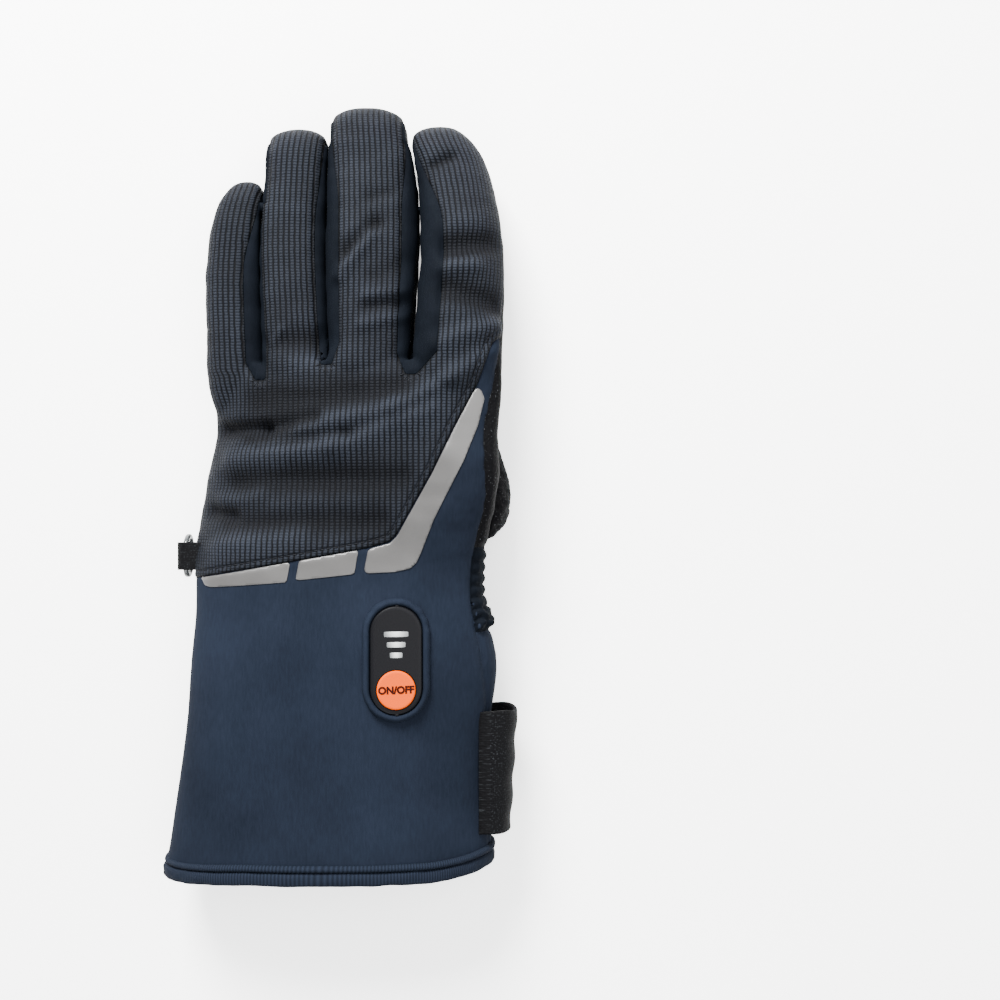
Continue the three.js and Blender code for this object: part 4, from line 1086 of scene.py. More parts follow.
def moulded_plastic(name, tone, roughness, extra=None):
    """Moulded plastic: an even colour with a fine spark-eroded texture from the tool."""
    values = {"Roughness": roughness, "Base Color": tone}
    values.update(extra or {})
    material, tree, shader = new_material(name, values)
    place = add(tree, "ShaderNodeTexCoord")
    grain = add(tree, "ShaderNodeTexNoise", {"Vector": place.outputs["Object"], "Scale": 2400.0, "Detail": 2.0})
    bump = add(tree, "ShaderNodeBump", {"Strength": 0.3, "Distance": 0.04 * MM, "Height": grain.outputs[0]})
    tree.links.new(bump.outputs[0], shader.inputs["Normal"])
    return material


def level_light():
    """Frosted acrylic light window: painted glow makes it brightest in its middle, where the lamp sits behind it."""
    material, tree, shader = new_material("frosted_acrylic", {"Roughness": 0.3})
    uv = add(tree, "ShaderNodeUVMap", uv_map="weave")
    split = add(tree, "ShaderNodeSeparateXYZ", {0: uv.outputs[0]})
    away = add(tree, "ShaderNodeMath", {0: split.outputs[0]}, operation="ABSOLUTE")
    share = add(tree, "ShaderNodeMapRange", {0: away.outputs[0], 1: 0.0, 2: 1.0}, interpolation_type="SMOOTHSTEP")
    # Painted glow: the window's colour is lightest in the middle and falls to a darker grey at its ends
    edge = linear("#4a4c4d")
    tone = add(tree, "ShaderNodeMix", {0: share.outputs[0], 6: colours().light, 7: edge}, data_type="RGBA")
    tree.links.new(tone.outputs[2], shader.inputs["Base Color"])
    return material


def rib_map(co):
    """Where a point lies on the waffle knit, along the finger's width and length."""
    s = sizes()
    x, y, z = co.T
    root = s.hand_length
    finger_share = ramp(root - 4 * MM, root + 10 * MM, y)
    drift = np.zeros(len(co))
    up = np.zeros(len(co))
    tip_drop = np.zeros(len(co))
    lines = [slot_line(i, y) for i in range(3)]
    owner = sum((x > line).astype(int) for line in lines)
    for index, finger in enumerate(FINGERS):
        on = owner == index
        side, _ = finger_at(finger, y[on])
        start, _ = finger_at(finger, np.full(on.sum(), root))
        closing = finger_round(finger, y[on])
        drift[on] = (side - start) * finger_share[on]
        up[on] = finger.thickness * MM / 2 * closing
        tip_drop[on] = finger.thickness * MM / 2 * (1 - closing)
    row = section_at(np.minimum(y, root))
    top = middle_height(x, y) + row.up * (1 - finger_share) + up * finger_share
    drop = np.maximum(0, top - z)
    centre = (row.right - row.left) / 2
    outer = ramp(0.55, 0.95, np.abs(x - centre) / ((row.left + row.right) / 2))
    u = x - drift + np.sign(x - centre) * 0.75 * drop * outer
    v = y + 0.75 * tip_drop
    return u, v


def finish_panel(bm, name, material, nodes, zones, mapped=False):
    """Gives a cut panel its seam distances and wall, and fits it."""
    mesh = mesh_from(bm, name)
    co = positions(mesh)
    if mapped:
        map_weave(mesh, *rib_map(co))
    mark(mesh, "seam_mm", np.min([zone(co) for zone in zones], axis=0) / MM)
    if mapped:
        mark(mesh, "hem_mm", rib_zone()(co) / MM)
    return fit(mesh, name, material, nodes, wall=sizes().wall)


def outside(zone):
    """The field of what lies outside a zone."""
    return lambda co: -zone(co)


def past_hem(co):
    """The field of what lies above the hem's piping."""
    return co[:, 1] - panel_marks()["hem"] - hem_shift(co[:, 0])


def before(y):
    """The field of what lies on the cuff's side of a line."""
    return lambda co: y - co[:, 1]


def beyond(y):
    """The field of what lies on the fingers' side of a line."""
    return lambda co: co[:, 1] - y


class GloveOperator:
    """What all the glove's operators share."""

    bl_options = {"REGISTER", "UNDO"}


class GLOVE_OT_back(GloveOperator, Operator):
    """Sews the ribbed back of the hand and fingers"""

    bl_idname = "glove.back"
    bl_label = "Ribbed Back"

    def execute(self, context):
        rib = rib_zone()
        strips = [outside(strip_zone(i)) for i in range(3)]
        zones = [above_seam, rib, *strips]
        bm = cut_panel(zones)
        refine(bm, rib, 3.5 * MM)
        bm.normal_update()
        co = np.array([vert.co for vert in bm.verts])
        inward = rib(co)
        lift = 0.55 * ramp(-0.2 * MM, 0.5 * MM, inward) * (1 - 0.6 * ramp(3 * MM, 9 * MM, inward))
        lift -= 0.28 * bell(inward - trims().stitch_inset, 0.6 * MM)
        for vert, amount in zip(bm.verts, (lift * MM).tolist()):
            vert.co += vert.normal * amount
        finish_panel(bm, "ribbed_back", waffle_knit(), ["hand_back"], zones, mapped=True)
        return {"FINISHED"}


class GLOVE_OT_strips(GloveOperator, Operator):
    """Sews the smooth strips between the fingers"""

    bl_idname = "glove.strips"
    bl_label = "Finger Strips"

    def execute(self, context):
        cloth = plain_cloth("polyester_stretch_knit", colours().stretch, 0.8, 0.3)
        for index, node in enumerate(STRIP_NODES):
            zone = strip_zone(index)
            bm = cut_panel([zone])
            finish_panel(bm, f"strip_{index + 1}", cloth, [node], [zone])
        return {"FINISHED"}


class GLOVE_OT_palm(GloveOperator, Operator):
    """Sews the palm, the shirred wrist and the folded thumb"""

    bl_idname = "glove.palm"
    bl_label = "Palm and Thumb"

    def execute(self, context):
        marks = panel_marks()
        below = outside(above_seam)
        strips = [outside(strip_zone(i)) for i in range(3)]
        grip = grip_cloth()
        zones = [beyond(marks["elastic_end"]), below, *strips]
        finish_panel(cut_panel(zones), "palm", grip, ["palm_panel"], zones)
        zones = [below, beyond(marks["elastic_start"]), before(marks["elastic_end"])]
        shirred = plain_cloth("shirred_stretch_knit", colours().stretch, 0.8, 0.6)
        finish_panel(cut_panel(zones), "shirred_wrist", shirred, ["wrist_elastic"], zones)
        bm = cut_panel([clear_of_body], thumb_form())
        finish_panel(bm, "folded_thumb", grip, ["thumb"], [clear_of_body])
        return {"FINISHED"}


def clear_of_body(co):
    """Distance outside the hand's section."""
    x, y, z = co.T
    row = section_at(y)
    across = x - (row.right - row.left) / 2
    up = z - middle_height(x, y)
    half = (row.left + row.right) / 2
    reach = np.where(up > 0, row.up, row.down)
    power = np.where(up > 0, UPPER_POWER, LOWER_POWER)
    share = (np.abs(across / half) ** power + np.abs(up / reach) ** power) ** (1 / power)
    return (1 - 1 / np.maximum(share, 0.01)) * np.hypot(across, up) - 0.3 * MM


def thumb_form():
    """The skin of the thumb, gathered at its root."""
    s = sizes()
    angle = np.arange(FINGER_SIDES) * 2 * math.pi / FINGER_SIDES
    c, s_share = squircle(angle, FINGER_POWER, FINGER_POWER)
    along = [row.along for row in THUMB]
    rings = []
    for place in np.concatenate([np.linspace(0, 0.94, 30), [0.965, 0.985, 1.0]]):
        side, height, width, thickness = (
            along_curve(along, [getattr(row, key) for row in THUMB], place)
            for key in ("side", "height", "width", "thickness")
        )
        x = side * s.hand_width + width * s.thumb_width / 2 * c
        z = (height + thickness / 2 * s_share) * s.thumb_thickness
        y = np.full_like(x, THUMB_ROOT * s.hand_length + place * s.thumb_length)
        rings.append(np.stack([x, y, z], axis=-1))
    bm = bmesh.new()
    loft(bm, rings)
    form = remeshed(bm, 6)
    co = positions(form)
    normal = directions(form)
    start = THUMB_ROOT * s.hand_length
    root = 1 - ramp(start + 0.3 * s.thumb_length, start + 0.65 * s.thumb_length, co[:, 1])
    pleat = ripple(co * (0.6, 2.0, 1.2), 4.5 * MM, 2.2)
    depth = (0.9 * root * pleat + 0.35 * ripple(co, 7 * MM, 6.1)) * MM
    set_positions(form, co + normal * depth[:, None])
    rest_on_floor(form)
    return form


class GLOVE_OT_cuff(GloveOperator, Operator):
    """Sews the two sides of the cuff"""

    bl_idname = "glove.cuff"
    bl_label = "Cuff"

    def execute(self, context):
        marks = panel_marks()
        place = np.array(controller_place().to_3x3())
        centre = np.array(controller_place().translation)

        def window(co):
            local = (co - centre) @ place
            return np.where(co[:, 2] > sizes().cuff_height * 0.6, stadium_distance(local[:, 0], local[:, 1]), 1)

        shell = plain_cloth("polyester_softshell", colours().softshell, 0.85, 0.35)
        zones = [above_seam, outside(rib_zone()), past_hem, window]
        finish_panel(cut_panel(zones), "cuff_top", shell, ["cuff_back"], zones)
        zones = [outside(above_seam), past_hem, before(marks["elastic_start"])]
        finish_panel(cut_panel(zones), "cuff_underside", shell, ["cuff_palm"], zones)
        return {"FINISHED"}


def ring_piece(profile, path, steps, phase=0.0):
    """Turns a profile once round and lays it along a closed path. The profile holds outward and upward steps."""
    bm = bmesh.new()
    verts = bmesh.ops.create_circle(bm, radius=1, segments=len(profile))["verts"]
    for vert, (out, up) in zip(verts, profile):
        vert.co = (1 + out, up, 0)
    ring_edges = list(dict.fromkeys(edge for vert in verts for edge in vert.link_edges))
    bmesh.ops.spin(
        bm, geom=verts + ring_edges, cent=(0, 0, 0), axis=(0, 1, 0), dvec=(0, 0, 0),
        angle=2 * math.pi, steps=steps, use_merge=True,
    )
    co = np.array([vert.co for vert in bm.verts])
    share = np.mod(np.arctan2(-co[:, 2], co[:, 0]) / (2 * math.pi) + phase, 1)
    placed = path(share, np.hypot(co[:, 0], co[:, 2]) - 1, co[:, 1])
    for vert, point in zip(bm.verts, placed.tolist()):
        vert.co = point
    bmesh.ops.recalc_face_normals(bm, faces=bm.faces)
    return bm, share, co


def round_profile(width, height, count, power=2.0):
    """A rounded closed profile."""
    angle = np.arange(count) * 2 * math.pi / count
    c, s = squircle(angle, power, power)
    return list(zip(c * width / 2, s * height / 2))


def mouth_path(y, lift):
    """Lays a profile round the cuff at a place, with the wavy line of a sewn hem."""
    s = sizes()

    def path(share, out, up):
        angle = share * 2 * math.pi
        step = 0.002
        line = y + hem_shift(body_ring(y, angle)[:, 0])
        points = body_ring(line, angle)
        tangent = body_ring(y, angle + step) - body_ring(y, angle - step)
        normal = np.stack([tangent[:, 2], np.zeros(len(angle)), -tangent[:, 0]], axis=-1)
        normal /= np.linalg.norm(normal, axis=1)[:, None]
        tight = 1.2 * MM * ramp(-0.3, -0.5, points[:, 0] / s.cuff_width)
        placed = points + normal * (out + lift - tight)[:, None]
        around = np.stack([np.cos(angle) * 3, np.sin(angle) * 3, np.zeros(len(angle))], axis=-1)
        placed[:, 1] += up + ripple(around, 1.6, 2.9) * 0.7 * MM
        soft = 0.5 * MM
        z = placed[:, 2]
        placed[:, 2] = np.where(z > soft, z, soft * np.exp((z - soft) / soft))
        return placed

    return path


class GLOVE_OT_hem(GloveOperator, Operator):
    """Rolls the hem and its piping round the mouth of the cuff"""

    bl_idname = "glove.hem"
    bl_label = "Hem"

    def execute(self, context):
        s = sizes()
        t = trims()
        girth = math.pi * (s.cuff_width + s.cuff_height) / 2
        mouth = -s.cuff_length
        piping_y = mouth + t.binding_width + t.piping_width / 2
        profile = round_profile(t.piping_width + 0.6 * MM, t.piping_width, 12)
        bm, share, _ = ring_piece(profile, mouth_path(piping_y, 0.1 * MM), MOUTH_STEPS)
        mesh = mesh_from(bm, "piping")
        map_weave(mesh, share * girth, share * 0, period=girth)
        cord = ribbed_tape("twisted_piping_cord", colours().softshell, 0.9)
        fit(mesh, "piping", cord, ["hem_piping"])

        depth = t.binding_proud + s.wall + 0.8 * MM
        profile = round_profile(depth, t.binding_width, 20, power=2.8)
        lift = t.binding_proud - depth / 2
        bm, share, drawn = ring_piece(profile, mouth_path(mouth + t.binding_width / 2, lift), MOUTH_STEPS)
        bm.normal_update()
        around = np.stack([np.cos(share * 2 * math.pi), np.sin(share * 2 * math.pi), drawn[:, 1] * 60], axis=-1)
        lumps = ripple(around * 9, 1.0, 8.8) * 0.28 * MM
        for vert, amount in zip(bm.verts, lumps.tolist()):
            vert.co += vert.normal * amount
            vert.co.z = max(vert.co.z, 0.02 * MM)
        mesh = mesh_from(bm, "rolled_hem")
        map_weave(mesh, share * girth, drawn[:, 1], period=girth)
        # The tape's ribs are 0.6 mm apart, drawn at 0.9 mm so that they show
        tape = ribbed_tape("ribbed_binding_tape", colours().softshell, 0.9)
        fit(mesh, "rolled_hem", tape, ["hem_binding"])
        return {"FINISHED"}


def film_band(band):
    """Plan of a film band: from the ribbed edge down by the film's width."""
    s = sizes()
    width = trims().film_width
    sides = [row.side for row in RIB_EDGE[:6]]
    heights = [row.along for row in RIB_EDGE[:6]]
    share = np.linspace(0, 1, 17)
    side = band.start + (band.end - band.start) * share
    drop = width * (band.start_width + (band.end_width - band.start_width) * share)
    if band.corner:
        near = np.clip((side - band.start) / band.corner, 0, 1)
        drop *= np.sqrt(1 - (1 - near) ** 2) + 0.02
    top = along_curve(sides, heights, side) * s.hand_length - 0.2 * MM
    x = side * s.hand_width
    lower = list(zip(x - 0.17 * drop, top - drop))
    return lower + list(zip(x, top))[::-1]


class GLOVE_OT_film(GloveOperator, Operator):
    """Presses the reflective film on to the back of the cuff"""

    bl_idname = "glove.film"
    bl_label = "Reflective Film"

    def execute(self, context):
        material = transfer_film()
        outlines = [("film_long", "reflector_long", corners(FILM_LONG), 1.6 * MM)]
        outlines += [(band.name, band.node, film_band(band), 0.4 * MM) for band in FILM_BANDS]
        rib = outside(rib_zone())
        for name, node, points, radius in outlines:
            bm = cut_panel([region(points, radius), above_seam, lambda co: rib(co) + 0.4 * MM])
            bm.normal_update()
            for vert in bm.verts:
                vert.co += vert.normal * 0.28 * MM
            mesh = mesh_from(bm, name)
            fit(mesh, name, material, [node], wall=trims().film_thickness)
        return {"FINISHED"}


def level_rings(outline, steps):
    """Rings of an outline at several heights, each moved inwards by an inset."""
    share = np.arange(RING_STEPS) / RING_STEPS
    rings = []
    for inward, height in steps:
        points, out = outline(share)
        flat = points - out * inward
        rings.append(np.column_stack([flat, np.full(len(flat), height)]))
    return rings


def place_on_cuff(bm):
    """Sets a bmesh made in the controller's own frame on the cuff."""
    bmesh.ops.recalc_face_normals(bm, faces=bm.faces)
    bmesh.ops.transform(bm, matrix=controller_place(), verts=bm.verts)


def button_middle():
    """Place of the button's middle along the controller."""
    t = trims()
    return -t.controller_length / 2 + t.controller_width / 2 - 0.5 * MM


def circle_outline(radius, y):
    """A circle as a point and outward direction by share."""
    def outline(share):
        angle = share * 2 * math.pi
        out = np.stack([np.cos(angle), np.sin(angle)], -1)
        return out * radius + (0, y), out
    return outline


class GLOVE_OT_controller(GloveOperator, Operator):
    """Fits the controller, its lights, its button and the welt round it"""

    bl_idname = "glove.controller"
    bl_label = "Controller"

    def execute(self, context):
        t = trims()
        c = colours()
        face = t.controller_proud

        def outline(share):
            return stadium(share, t.controller_width, t.controller_length)

        def pocket(share):
            out = stadium(share, t.controller_width, t.controller_length)[0] - (0, button_middle())
            out /= np.linalg.norm(out, axis=1)[:, None]
            return out * (t.button_width / 2 + 0.35 * MM) + (0, button_middle()), out

        bm = bmesh.new()
        steps = [(0, face - 7 * MM), (0, face - 1.1 * MM), (0.1 * MM, face - 0.6 * MM), (0.35 * MM, face - 0.2 * MM),
                 (0.8 * MM, face), (1.6 * MM, face)]
        sunk = [(0, face), (0.12 * MM, face - 0.15 * MM), (0.15 * MM, face + t.button_proud - t.button_height - t.button_room)]
        loft(bm, level_rings(outline, steps) + level_rings(pocket, sunk))
        for end in (-1, 1):
            nub = bmesh.ops.create_cube(bm, size=1)["verts"]
            place = Matrix.Translation((0.3 * MM, end * (t.controller_length / 2 - 0.1 * MM), face - 0.5 * MM))
            shape = Matrix.Diagonal((1.3 * MM, 0.7 * MM, 0.8 * MM, 1))
            bmesh.ops.transform(bm, matrix=place @ shape, verts=nub)
            edges = list(dict.fromkeys(edge for vert in nub for edge in vert.link_edges))
            bmesh.ops.bevel(bm, geom=edges, offset=0.2 * MM, segments=2, profile=0.5, affect="EDGES", material=-1)
        place_on_cuff(bm)
        # Moulded nylon with a satin face
        satin = moulded_plastic("moulded_nylon", c.housing, 0.42, {"Specular IOR Level": 0.06})
        fit(mesh_from(bm, "controller_body", 28), "controller_body", satin, ["controller_housing"])

        lamp = level_light()
        for i, long in enumerate((9.3, 7.1, 4.8)):
            width = 2.0 * MM
            long *= MM
            y = (10 - 4 * i) * MM

            def bar_outline(share, long=long):
                c, s = squircle(share * 2 * math.pi, 9, 9)
                out = np.stack([c, s], -1)
                return out * (long / 2, width / 2), out

            bm = bmesh.new()
            loft(bm, level_rings(bar_outline, [(0, face - 0.4 * MM), (0, face + 0.02 * MM), (0.12 * MM, face + 0.07 * MM)]))
            bm.normal_update()
            turn = Matrix.Translation((0, y, 0))
            local = np.array([vert.co for vert in bm.verts])
            bmesh.ops.transform(bm, matrix=turn, verts=bm.verts)
            place_on_cuff(bm)
            mesh = mesh_from(bm, f"light_{i + 1}", 28)
            map_weave(mesh, local[:, 0] / (long / 2) * MM, local[:, 1])
            fit(mesh, f"light_{i + 1}", lamp, [f"led_bar_{i + 1}"])

        top = face + t.button_proud
        radius = t.button_width / 2
        disc = circle_outline(radius, button_middle())
        bm = bmesh.new()
        dish = [(0, top - t.button_height), (0, top - 0.75 * MM), (0.08 * MM, top - 0.4 * MM),
                (0.3 * MM, top - 0.12 * MM), (0.65 * MM, top), (1.2 * MM, top - 0.01 * MM),
                (3 * MM, top - 0.05 * MM), (5.5 * MM, top - 0.07 * MM), (7.2 * MM, top - 0.08 * MM)]
        loft(bm, level_rings(disc, dish))
        place_on_cuff(bm)
        # Moulded silicone rubber with a soft gloss
        rubber = moulded_plastic("silicone_rubber", c.button, 0.55, {"Specular IOR Level": 0.03})
        fit(mesh_from(bm, "button_cap", 40), "button_cap", rubber, ["power_button"], body=BUTTON_BODY)
        self.lettering(top - 0.03 * MM)
        self.welt(outline)
        return {"FINISHED"}

    def lettering(self, height):
        """Raises the generic switch words on the button."""
        curve = bpy.data.curves.new("switch_words", "FONT")
        curve.body = "ON/OFF"
        curve.align_x = "CENTER"
        curve.align_y = "CENTER"
        curve.size = 3.75 * MM
        curve.extrude = 0.1 * MM
        curve.bevel_depth = 0.03 * MM
        curve.offset = 0.14 * MM
        draft = bpy.data.objects.new("draft", curve)
        bpy.context.scene.collection.objects.link(draft)
        graph = bpy.context.evaluated_depsgraph_get()
        mesh = bpy.data.meshes.new_from_object(draft.evaluated_get(graph))
        bpy.data.objects.remove(draft)
        bpy.data.curves.remove(curve)
        turn = Matrix.Rotation(math.radians(1.5), 4, "Z")
        mesh.transform(controller_place() @ Matrix.Translation((0, button_middle(), height)) @ turn)
        mesh.name = "switch_words"
        # Printed silicone ink
        ink = moulded_plastic("silicone_ink", colours().lettering, 0.6, {"Specular IOR Level": 0.05})
        fit(mesh, "switch_words", ink, [], body=BUTTON_BODY)

    def welt(self, outline):
        """Folds the cloth ring round the controller's window."""
        place = controller_place()
        turn = np.array(place.to_3x3()).T
        centre = np.array(place.translation)

        def path(share, out, up):
            points, normal = outline(share)
            around = np.column_stack([normal * 2.2, np.zeros(len(share))])
            wave = ripple(around, 0.5, 3.1)
            outer = np.clip(out / (2 * MM), 0, 1)
            flat = points + normal * (out * (1 + 0.12 * wave))[:, None]
            local = np.column_stack([flat, up + outer * wave * 0.35 * MM])
            return local @ turn + centre

        profile = [(0.3, -2.6), (0.2, 0.7), (0.35, 1.5), (0.75, 2.05), (1.3, 2.25), (1.9, 2.1), (2.4, 1.6),
                   (2.75, 0.9), (2.95, 0.1), (3.0, -0.8), (2.6, -2.6)]
        bm, share, drawn = ring_piece([(a * MM, b * MM) for a, b in profile], path, 160)
        mesh = mesh_from(bm, "window_welt")
        cloth = plain_cloth("folded_softshell", colours().softshell, 0.85, 0.35)
        fit(mesh, "window_welt", cloth, ["controller_welt"])


def sheet_piece(columns, rows, place):
    """A flat grid laid by a function of two shares."""
    bm = bmesh.new()
    bmesh.ops.create_grid(bm, x_segments=columns, y_segments=rows, size=0.5)
    co = np.array([vert.co for vert in bm.verts])
    share = co[:, :2] + 0.5
    points = place(share[:, 0], share[:, 1])
    for vert, point in zip(bm.verts, points.tolist()):
        vert.co = point
    bmesh.ops.recalc_face_normals(bm, faces=bm.faces)
    return bm, share


class GLOVE_OT_webbing(GloveOperator, Operator):
    """Sews on the side strap, the clip with its tab and the end of tape under the hem"""

    bl_idname = "glove.webbing"
    bl_label = "Webbing and Clip"

    def execute(self, context):
        woven = woven_webbing()
        self.strap(woven)
        self.clip()
        self.tab(woven)
        self.tape(woven)
        return {"FINISHED"}

    def strap(self, woven):
        """Bows the wide loop out from the side of the cuff."""
        t = trims()
        centre = float(seam_at(-t.strap_start).height)
        edge = float(section_at(-t.strap_start - t.strap_length / 2).right)
        inner = 4 * MM

        def place(around, along):
            angle = (around - 0.5) * math.pi * 1.02
            bow = np.abs(np.cos(np.clip(angle, -math.pi / 2, math.pi / 2))) ** 0.7
            out = bow * t.strap_bulge * (1 - 0.25 * along) - inner * (np.abs(around - 0.5) > 0.49)
            rise = np.sin(angle) * t.strap_rise / 2
            edge_wave = 0.35 * MM * np.sin(along * 19) * bow
            y = -t.strap_start - along * t.strap_length + 0.6 * MM * np.sin(around * 9) * (1 - along)
            return np.column_stack([edge + out + edge_wave, y, centre + rise])

        bm, share = sheet_piece(90, 70, place)
        mesh = mesh_from(bm, "side_strap")
        map_weave(mesh, share[:, 0] * 34 * MM, share[:, 1] * t.strap_length)
        piece = fit(mesh, "side_strap", woven, ["wrist_strap"], wall=t.strap_thickness)
        piece.modifiers["Wall"].offset = 0

    def clip(self):
        """Shapes the smoky plastic ring of the clip."""
        low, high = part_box("side_clip")
        centre = (low + high) / 2 - Vector((MIDDLE_X, wrist_y(), 0))
        long = high.y - low.y
        tall = high.z - low.z
        bar = 2.2 * MM

        def path(share, out, up):
            points, normal = stadium(share, tall - bar, long - bar)
            square = 1 + 0.1 * np.abs(np.sin(2 * share * 2 * math.pi)) ** 2
            flat = points * square[:, None] + normal * out[:, None]
            return np.column_stack([centre.x + up, centre.y + flat[:, 1], centre.z + flat[:, 0]])

        bm, _, _ = ring_piece(round_profile(bar, high.x - low.x, 14, power=3.2), path, 96)
        # Smoky polycarbonate: clear enough for light to glow in its edges
        clear = moulded_plastic("smoky_polycarbonate", colours().clip, 0.22, {"Transmission Weight": 0.35})
        fit(mesh_from(bm, "clip_ring"), "clip_ring", clear, ["side_clip"])

    def tab(self, woven):
        """Folds the small tab of webbing round the clip's bar."""
        low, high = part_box("clip_tab")
        shift = Vector((MIDDLE_X, wrist_y(), 0))
        low = low - shift
        high = high - shift
        radius = (high.z - low.z) / 2
        thick = 1.1 * MM
        nose = low.x + radius
        middle = (high.z + low.z) / 2
        run = high.x - nose + 2 * MM

        def place(around, along):
            total = 2 * run + math.pi * radius
            d = around * total
            arc = np.clip((d - run) / radius, 0, math.pi)
            straight = np.where(d < run, run - d, np.where(d > run + math.pi * radius, d - run - math.pi * radius, 0))
            x = nose + straight - np.sin(arc) * (radius - thick / 2)
            z = middle - np.cos(arc) * (radius - thick / 2)
            y = low.y + along * (high.y - low.y)
            return np.column_stack([x, y, z])

        bm, share = sheet_piece(60, 20, place)
        mesh = mesh_from(bm, "tab_fold")
        map_weave(mesh, share[:, 0] * 26 * MM, share[:, 1] * (high.y - low.y))
        piece = fit(mesh, "tab_fold", woven, ["clip_tab"], wall=thick)
        piece.modifiers["Wall"].offset = 0

    def tape(self, woven):
        """Leaves the end of a tape showing under the hem."""
        low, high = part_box("pull_tab")
        shift = Vector((MIDDLE_X, wrist_y(), 0))
        low = low - shift
        high = high - shift
        thick = 1.2 * MM

        def place(across, along):
            x = low.x + across * (high.x - low.x)
            y = low.y + along * (high.y - low.y)
            round_end = (1 - np.clip(along * 6, 0, 1)) ** 2 * 0.8 * MM
            x = x + (0.5 - across) * round_end
            z = (low.z + high.z) / 2 + 0.3 * MM * np.sin(across * 5 + along * 3)
            return np.column_stack([x, y, z])

        bm, share = sheet_piece(16, 24, place)
        mesh = mesh_from(bm, "tape_end")
        map_weave(mesh, share[:, 0] * (high.x - low.x), share[:, 1] * (high.y - low.y))
        piece = fit(mesh, "tape_end", woven, ["pull_tab"], wall=thick)
        piece.modifiers["Wall"].offset = 0


def resampled(points, pitch):
    """Points at an even pitch along a polyline."""
    points = np.asarray(points, float)
    gaps = np.hypot(*np.diff(points, axis=0).T)
    travelled = np.concatenate([[0], np.cumsum(gaps)])
    places = np.arange(pitch / 2, travelled[-1], pitch)
    return np.column_stack([np.interp(places, travelled, points[:, i]) for i in (0, 1)])


class GLOVE_OT_stitches(GloveOperator, Operator):
    """Runs the row of stitches along the folded edge of the ribbed back"""

    bl_idname = "glove.stitches"
    bl_label = "Stitches"

    def execute(self, context):
        t = trims()
        surface = bpy.data.objects["ribbed_back"].data
        bm = bmesh.new()
        bm.from_mesh(surface)
        tree = BVHTree.FromBMesh(bm)
        bm.free()
        edge = np.array(corners(RIB_EDGE))
        top = sizes().hand_length + 2.2 * sizes().reach
        closed = np.vstack([edge, [(edge[-1][0], top), (edge[0][0], top)]])
        radius = 5 * MM
        core = inset(closed, radius)
        line = self.rounded(core[:len(edge)], radius - t.stitch_inset)
        points = resampled(line, t.stitch_pitch)
        shift = np.array([MIDDLE_X, wrist_y()])
        bm = bmesh.new()
        for here, there in zip(points, points[1:]):
            a = self.drop(tree, here + shift)
            b = self.drop(tree, here + (there - here) * 0.68 + shift)
            if a and b:
                self.stitch(bm, a, b)
        for index, share in enumerate(SLOT_ENDS):
            y = share * sizes().hand_length
            middle = np.array([float(slot_line(index, np.float64(y))), y + 1.5 * MM])
            for angle in np.radians([-155, -125, -100, -80, -55, -25]):
                way = np.array([math.cos(angle), math.sin(angle)])
                a = self.drop(tree, middle + way * 2.9 * MM + shift)
                b = self.drop(tree, middle + way * 4.7 * MM + shift)
                if a and b:
                    self.stitch(bm, a, b)
        mesh = mesh_from(bm, "edge_stitches")
        mesh.transform(Matrix.Translation((-MIDDLE_X, -wrist_y(), 0)))
        # Bonded nylon thread, a little glossier than the cloth
        thread = moulded_plastic("bonded_nylon_thread", linear("#0c0d10"), 0.6, {"Specular IOR Level": 0.05})
        fit(mesh, "edge_stitches", thread, [])
        return {"FINISHED"}

    def rounded(self, core, radius):
        """The core line moved outwards by a radius, with an arc round each bend."""
        line = []
        for i, (x, y) in enumerate(core):
            before_angle = self.heading(core[max(i - 1, 0)], core[max(i, 1)])
            after_angle = self.heading(core[min(i, len(core) - 2)], core[min(i + 1, len(core) - 1)])
            for share in np.linspace(0, 1, 7):
                angle = before_angle + (after_angle - before_angle) * share - math.pi / 2
                line.append((x + radius * math.cos(angle), y + radius * math.sin(angle)))
        return line

    def heading(self, here, there):
        """The direction from one point to the next."""
        return math.atan2(there[1] - here[1], there[0] - here[0])

    def drop(self, tree, point):
        """The surface below a plan point."""
        hit, normal, _, _ = tree.ray_cast(Vector((point[0], point[1], 0.2)), Vector((0, 0, -1)))
        if hit is None or normal.z < 0.15:
            return None
        return hit + normal * 0.1 * MM

    def stitch(self, bm, start, end):
        """Lays one short thread between two points."""
        verts = bmesh.ops.create_uvsphere(bm, u_segments=8, v_segments=6, radius=1)["verts"]
        run = end - start
        turn = run.to_track_quat("Z", "Y").to_matrix().to_4x4()
        shape = Matrix.Diagonal((0.26 * MM, 0.26 * MM, run.length / 2 + 0.1 * MM, 1))
        bmesh.ops.transform(bm, matrix=Matrix.Translation((start + end) / 2) @ turn @ shape, verts=verts)


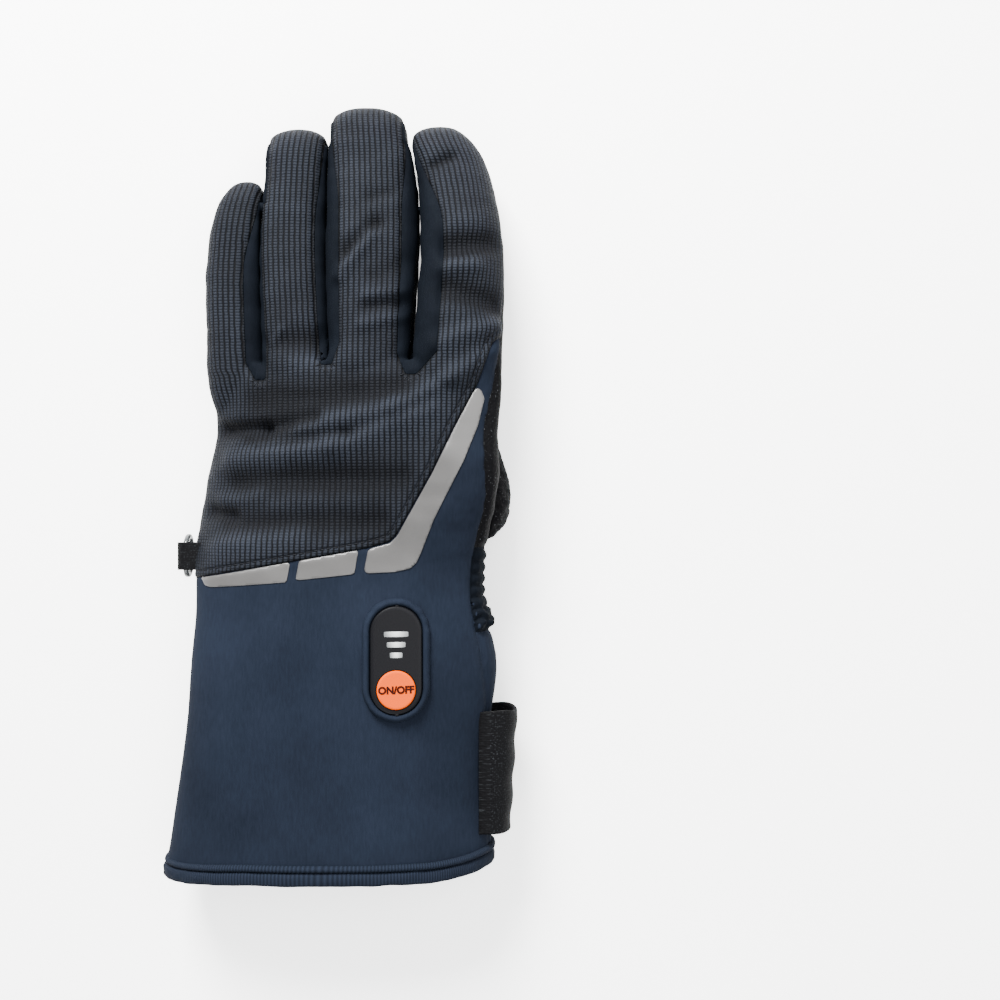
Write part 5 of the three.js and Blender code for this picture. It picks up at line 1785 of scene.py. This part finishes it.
class GLOVE_OT_stage(GloveOperator, Operator):
    """Lays the floor and sets the lights and the camera"""

    bl_idname = "glove.stage"
    bl_label = "Stage"

    def execute(self, context):
        scene = context.scene
        bm = bmesh.new()
        bmesh.ops.create_grid(bm, x_segments=2, y_segments=2, size=1.5)
        bmesh.ops.translate(bm, vec=(0, 0, -0.2 * MM), verts=bm.verts)
        floor = bpy.data.objects.new("floor", mesh_from(bm, "floor"))
        scene.collection.objects.link(floor)
        # Opal acrylic of a light table, which glows a little
        glow = {"Emission Color": (1, 1, 1, 1), "Emission Strength": 0.9}
        floor.data.materials.append(moulded_plastic("opal_acrylic", colours().floor, 0.85, glow))

        # The camera looks straight down from just right of the glove's middle
        camera = bpy.data.cameras.new("camera")
        camera.lens = 38.59
        camera.sensor_width = 36
        eye = bpy.data.objects.new("camera", camera)
        eye.location = (64.7 * MM, -2.4 * MM, 455 * MM)
        scene.collection.objects.link(eye)
        scene.camera = eye

        world = bpy.data.worlds.new("studio")
        scene.world = world
        world.use_nodes = True
        background = world.node_tree.nodes["Background"]
        background.inputs["Color"].default_value = linear("#f5f7fa")
        background.inputs["Strength"].default_value = 1.25
        self.lamp("key", (-0.25, 0.85, 0.6), 0.45, 90.0)
        self.lamp("fill", (0.5, 0.15, 1.0), 1.0, 22.0)
        self.lamp("front", (-0.2, -0.8, 0.7), 0.7, 11.0)
        return {"FINISHED"}

    def lamp(self, name, place, width, power):
        """Aims a soft square light at the glove."""
        light = bpy.data.lights.new(name, "AREA")
        light.shape = "SQUARE"
        light.size = width
        light.energy = power
        lamp = bpy.data.objects.new(name, light)
        lamp.location = place
        lamp.rotation_euler = (-Vector(place)).to_track_quat("-Z", "Y").to_euler()
        bpy.context.scene.collection.objects.link(lamp)


PIECES = [
    GLOVE_OT_back, GLOVE_OT_strips, GLOVE_OT_palm, GLOVE_OT_cuff, GLOVE_OT_hem, GLOVE_OT_film,
    GLOVE_OT_controller, GLOVE_OT_webbing, GLOVE_OT_stitches, GLOVE_OT_stage,
]


class GLOVE_PT_sidebar(Panel):
    """Lists the glove's operators and sizes"""

    bl_idname = "GLOVE_PT_sidebar"
    bl_label = "Heated Glove"
    bl_space_type = "VIEW_3D"
    bl_region_type = "UI"
    bl_category = "Glove"

    def draw(self, context):
        for piece in PIECES:
            self.layout.operator(piece.bl_idname)
        for group in (sizes(), trims(), colours()):
            box = self.layout.box()
            for name in type(group).__annotations__:
                box.prop(group, name)


CLASSES = [GloveSizes, TrimSizes, GloveColours, *PIECES, GLOVE_PT_sidebar]


def register():
    """Registers the add-on's classes and settings."""
    for cls in CLASSES:
        bpy.utils.register_class(cls)
    bpy.types.Scene.glove_sizes = PointerProperty(type=GloveSizes)
    bpy.types.Scene.glove_trims = PointerProperty(type=TrimSizes)
    bpy.types.Scene.glove_colours = PointerProperty(type=GloveColours)


def unregister():
    """Removes the add-on's classes and settings."""
    del bpy.types.Scene.glove_colours
    del bpy.types.Scene.glove_trims
    del bpy.types.Scene.glove_sizes
    for cls in reversed(CLASSES):
        bpy.utils.unregister_class(cls)


def main():
    """Makes every piece in order."""
    register()
    for step in ("stage", "back", "strips", "palm", "cuff", "hem", "film", "controller", "webbing", "stitches"):
        getattr(bpy.ops.glove, step)()
    bpy.data.meshes.remove(outer_form())


if __name__ == "__main__":
    main()
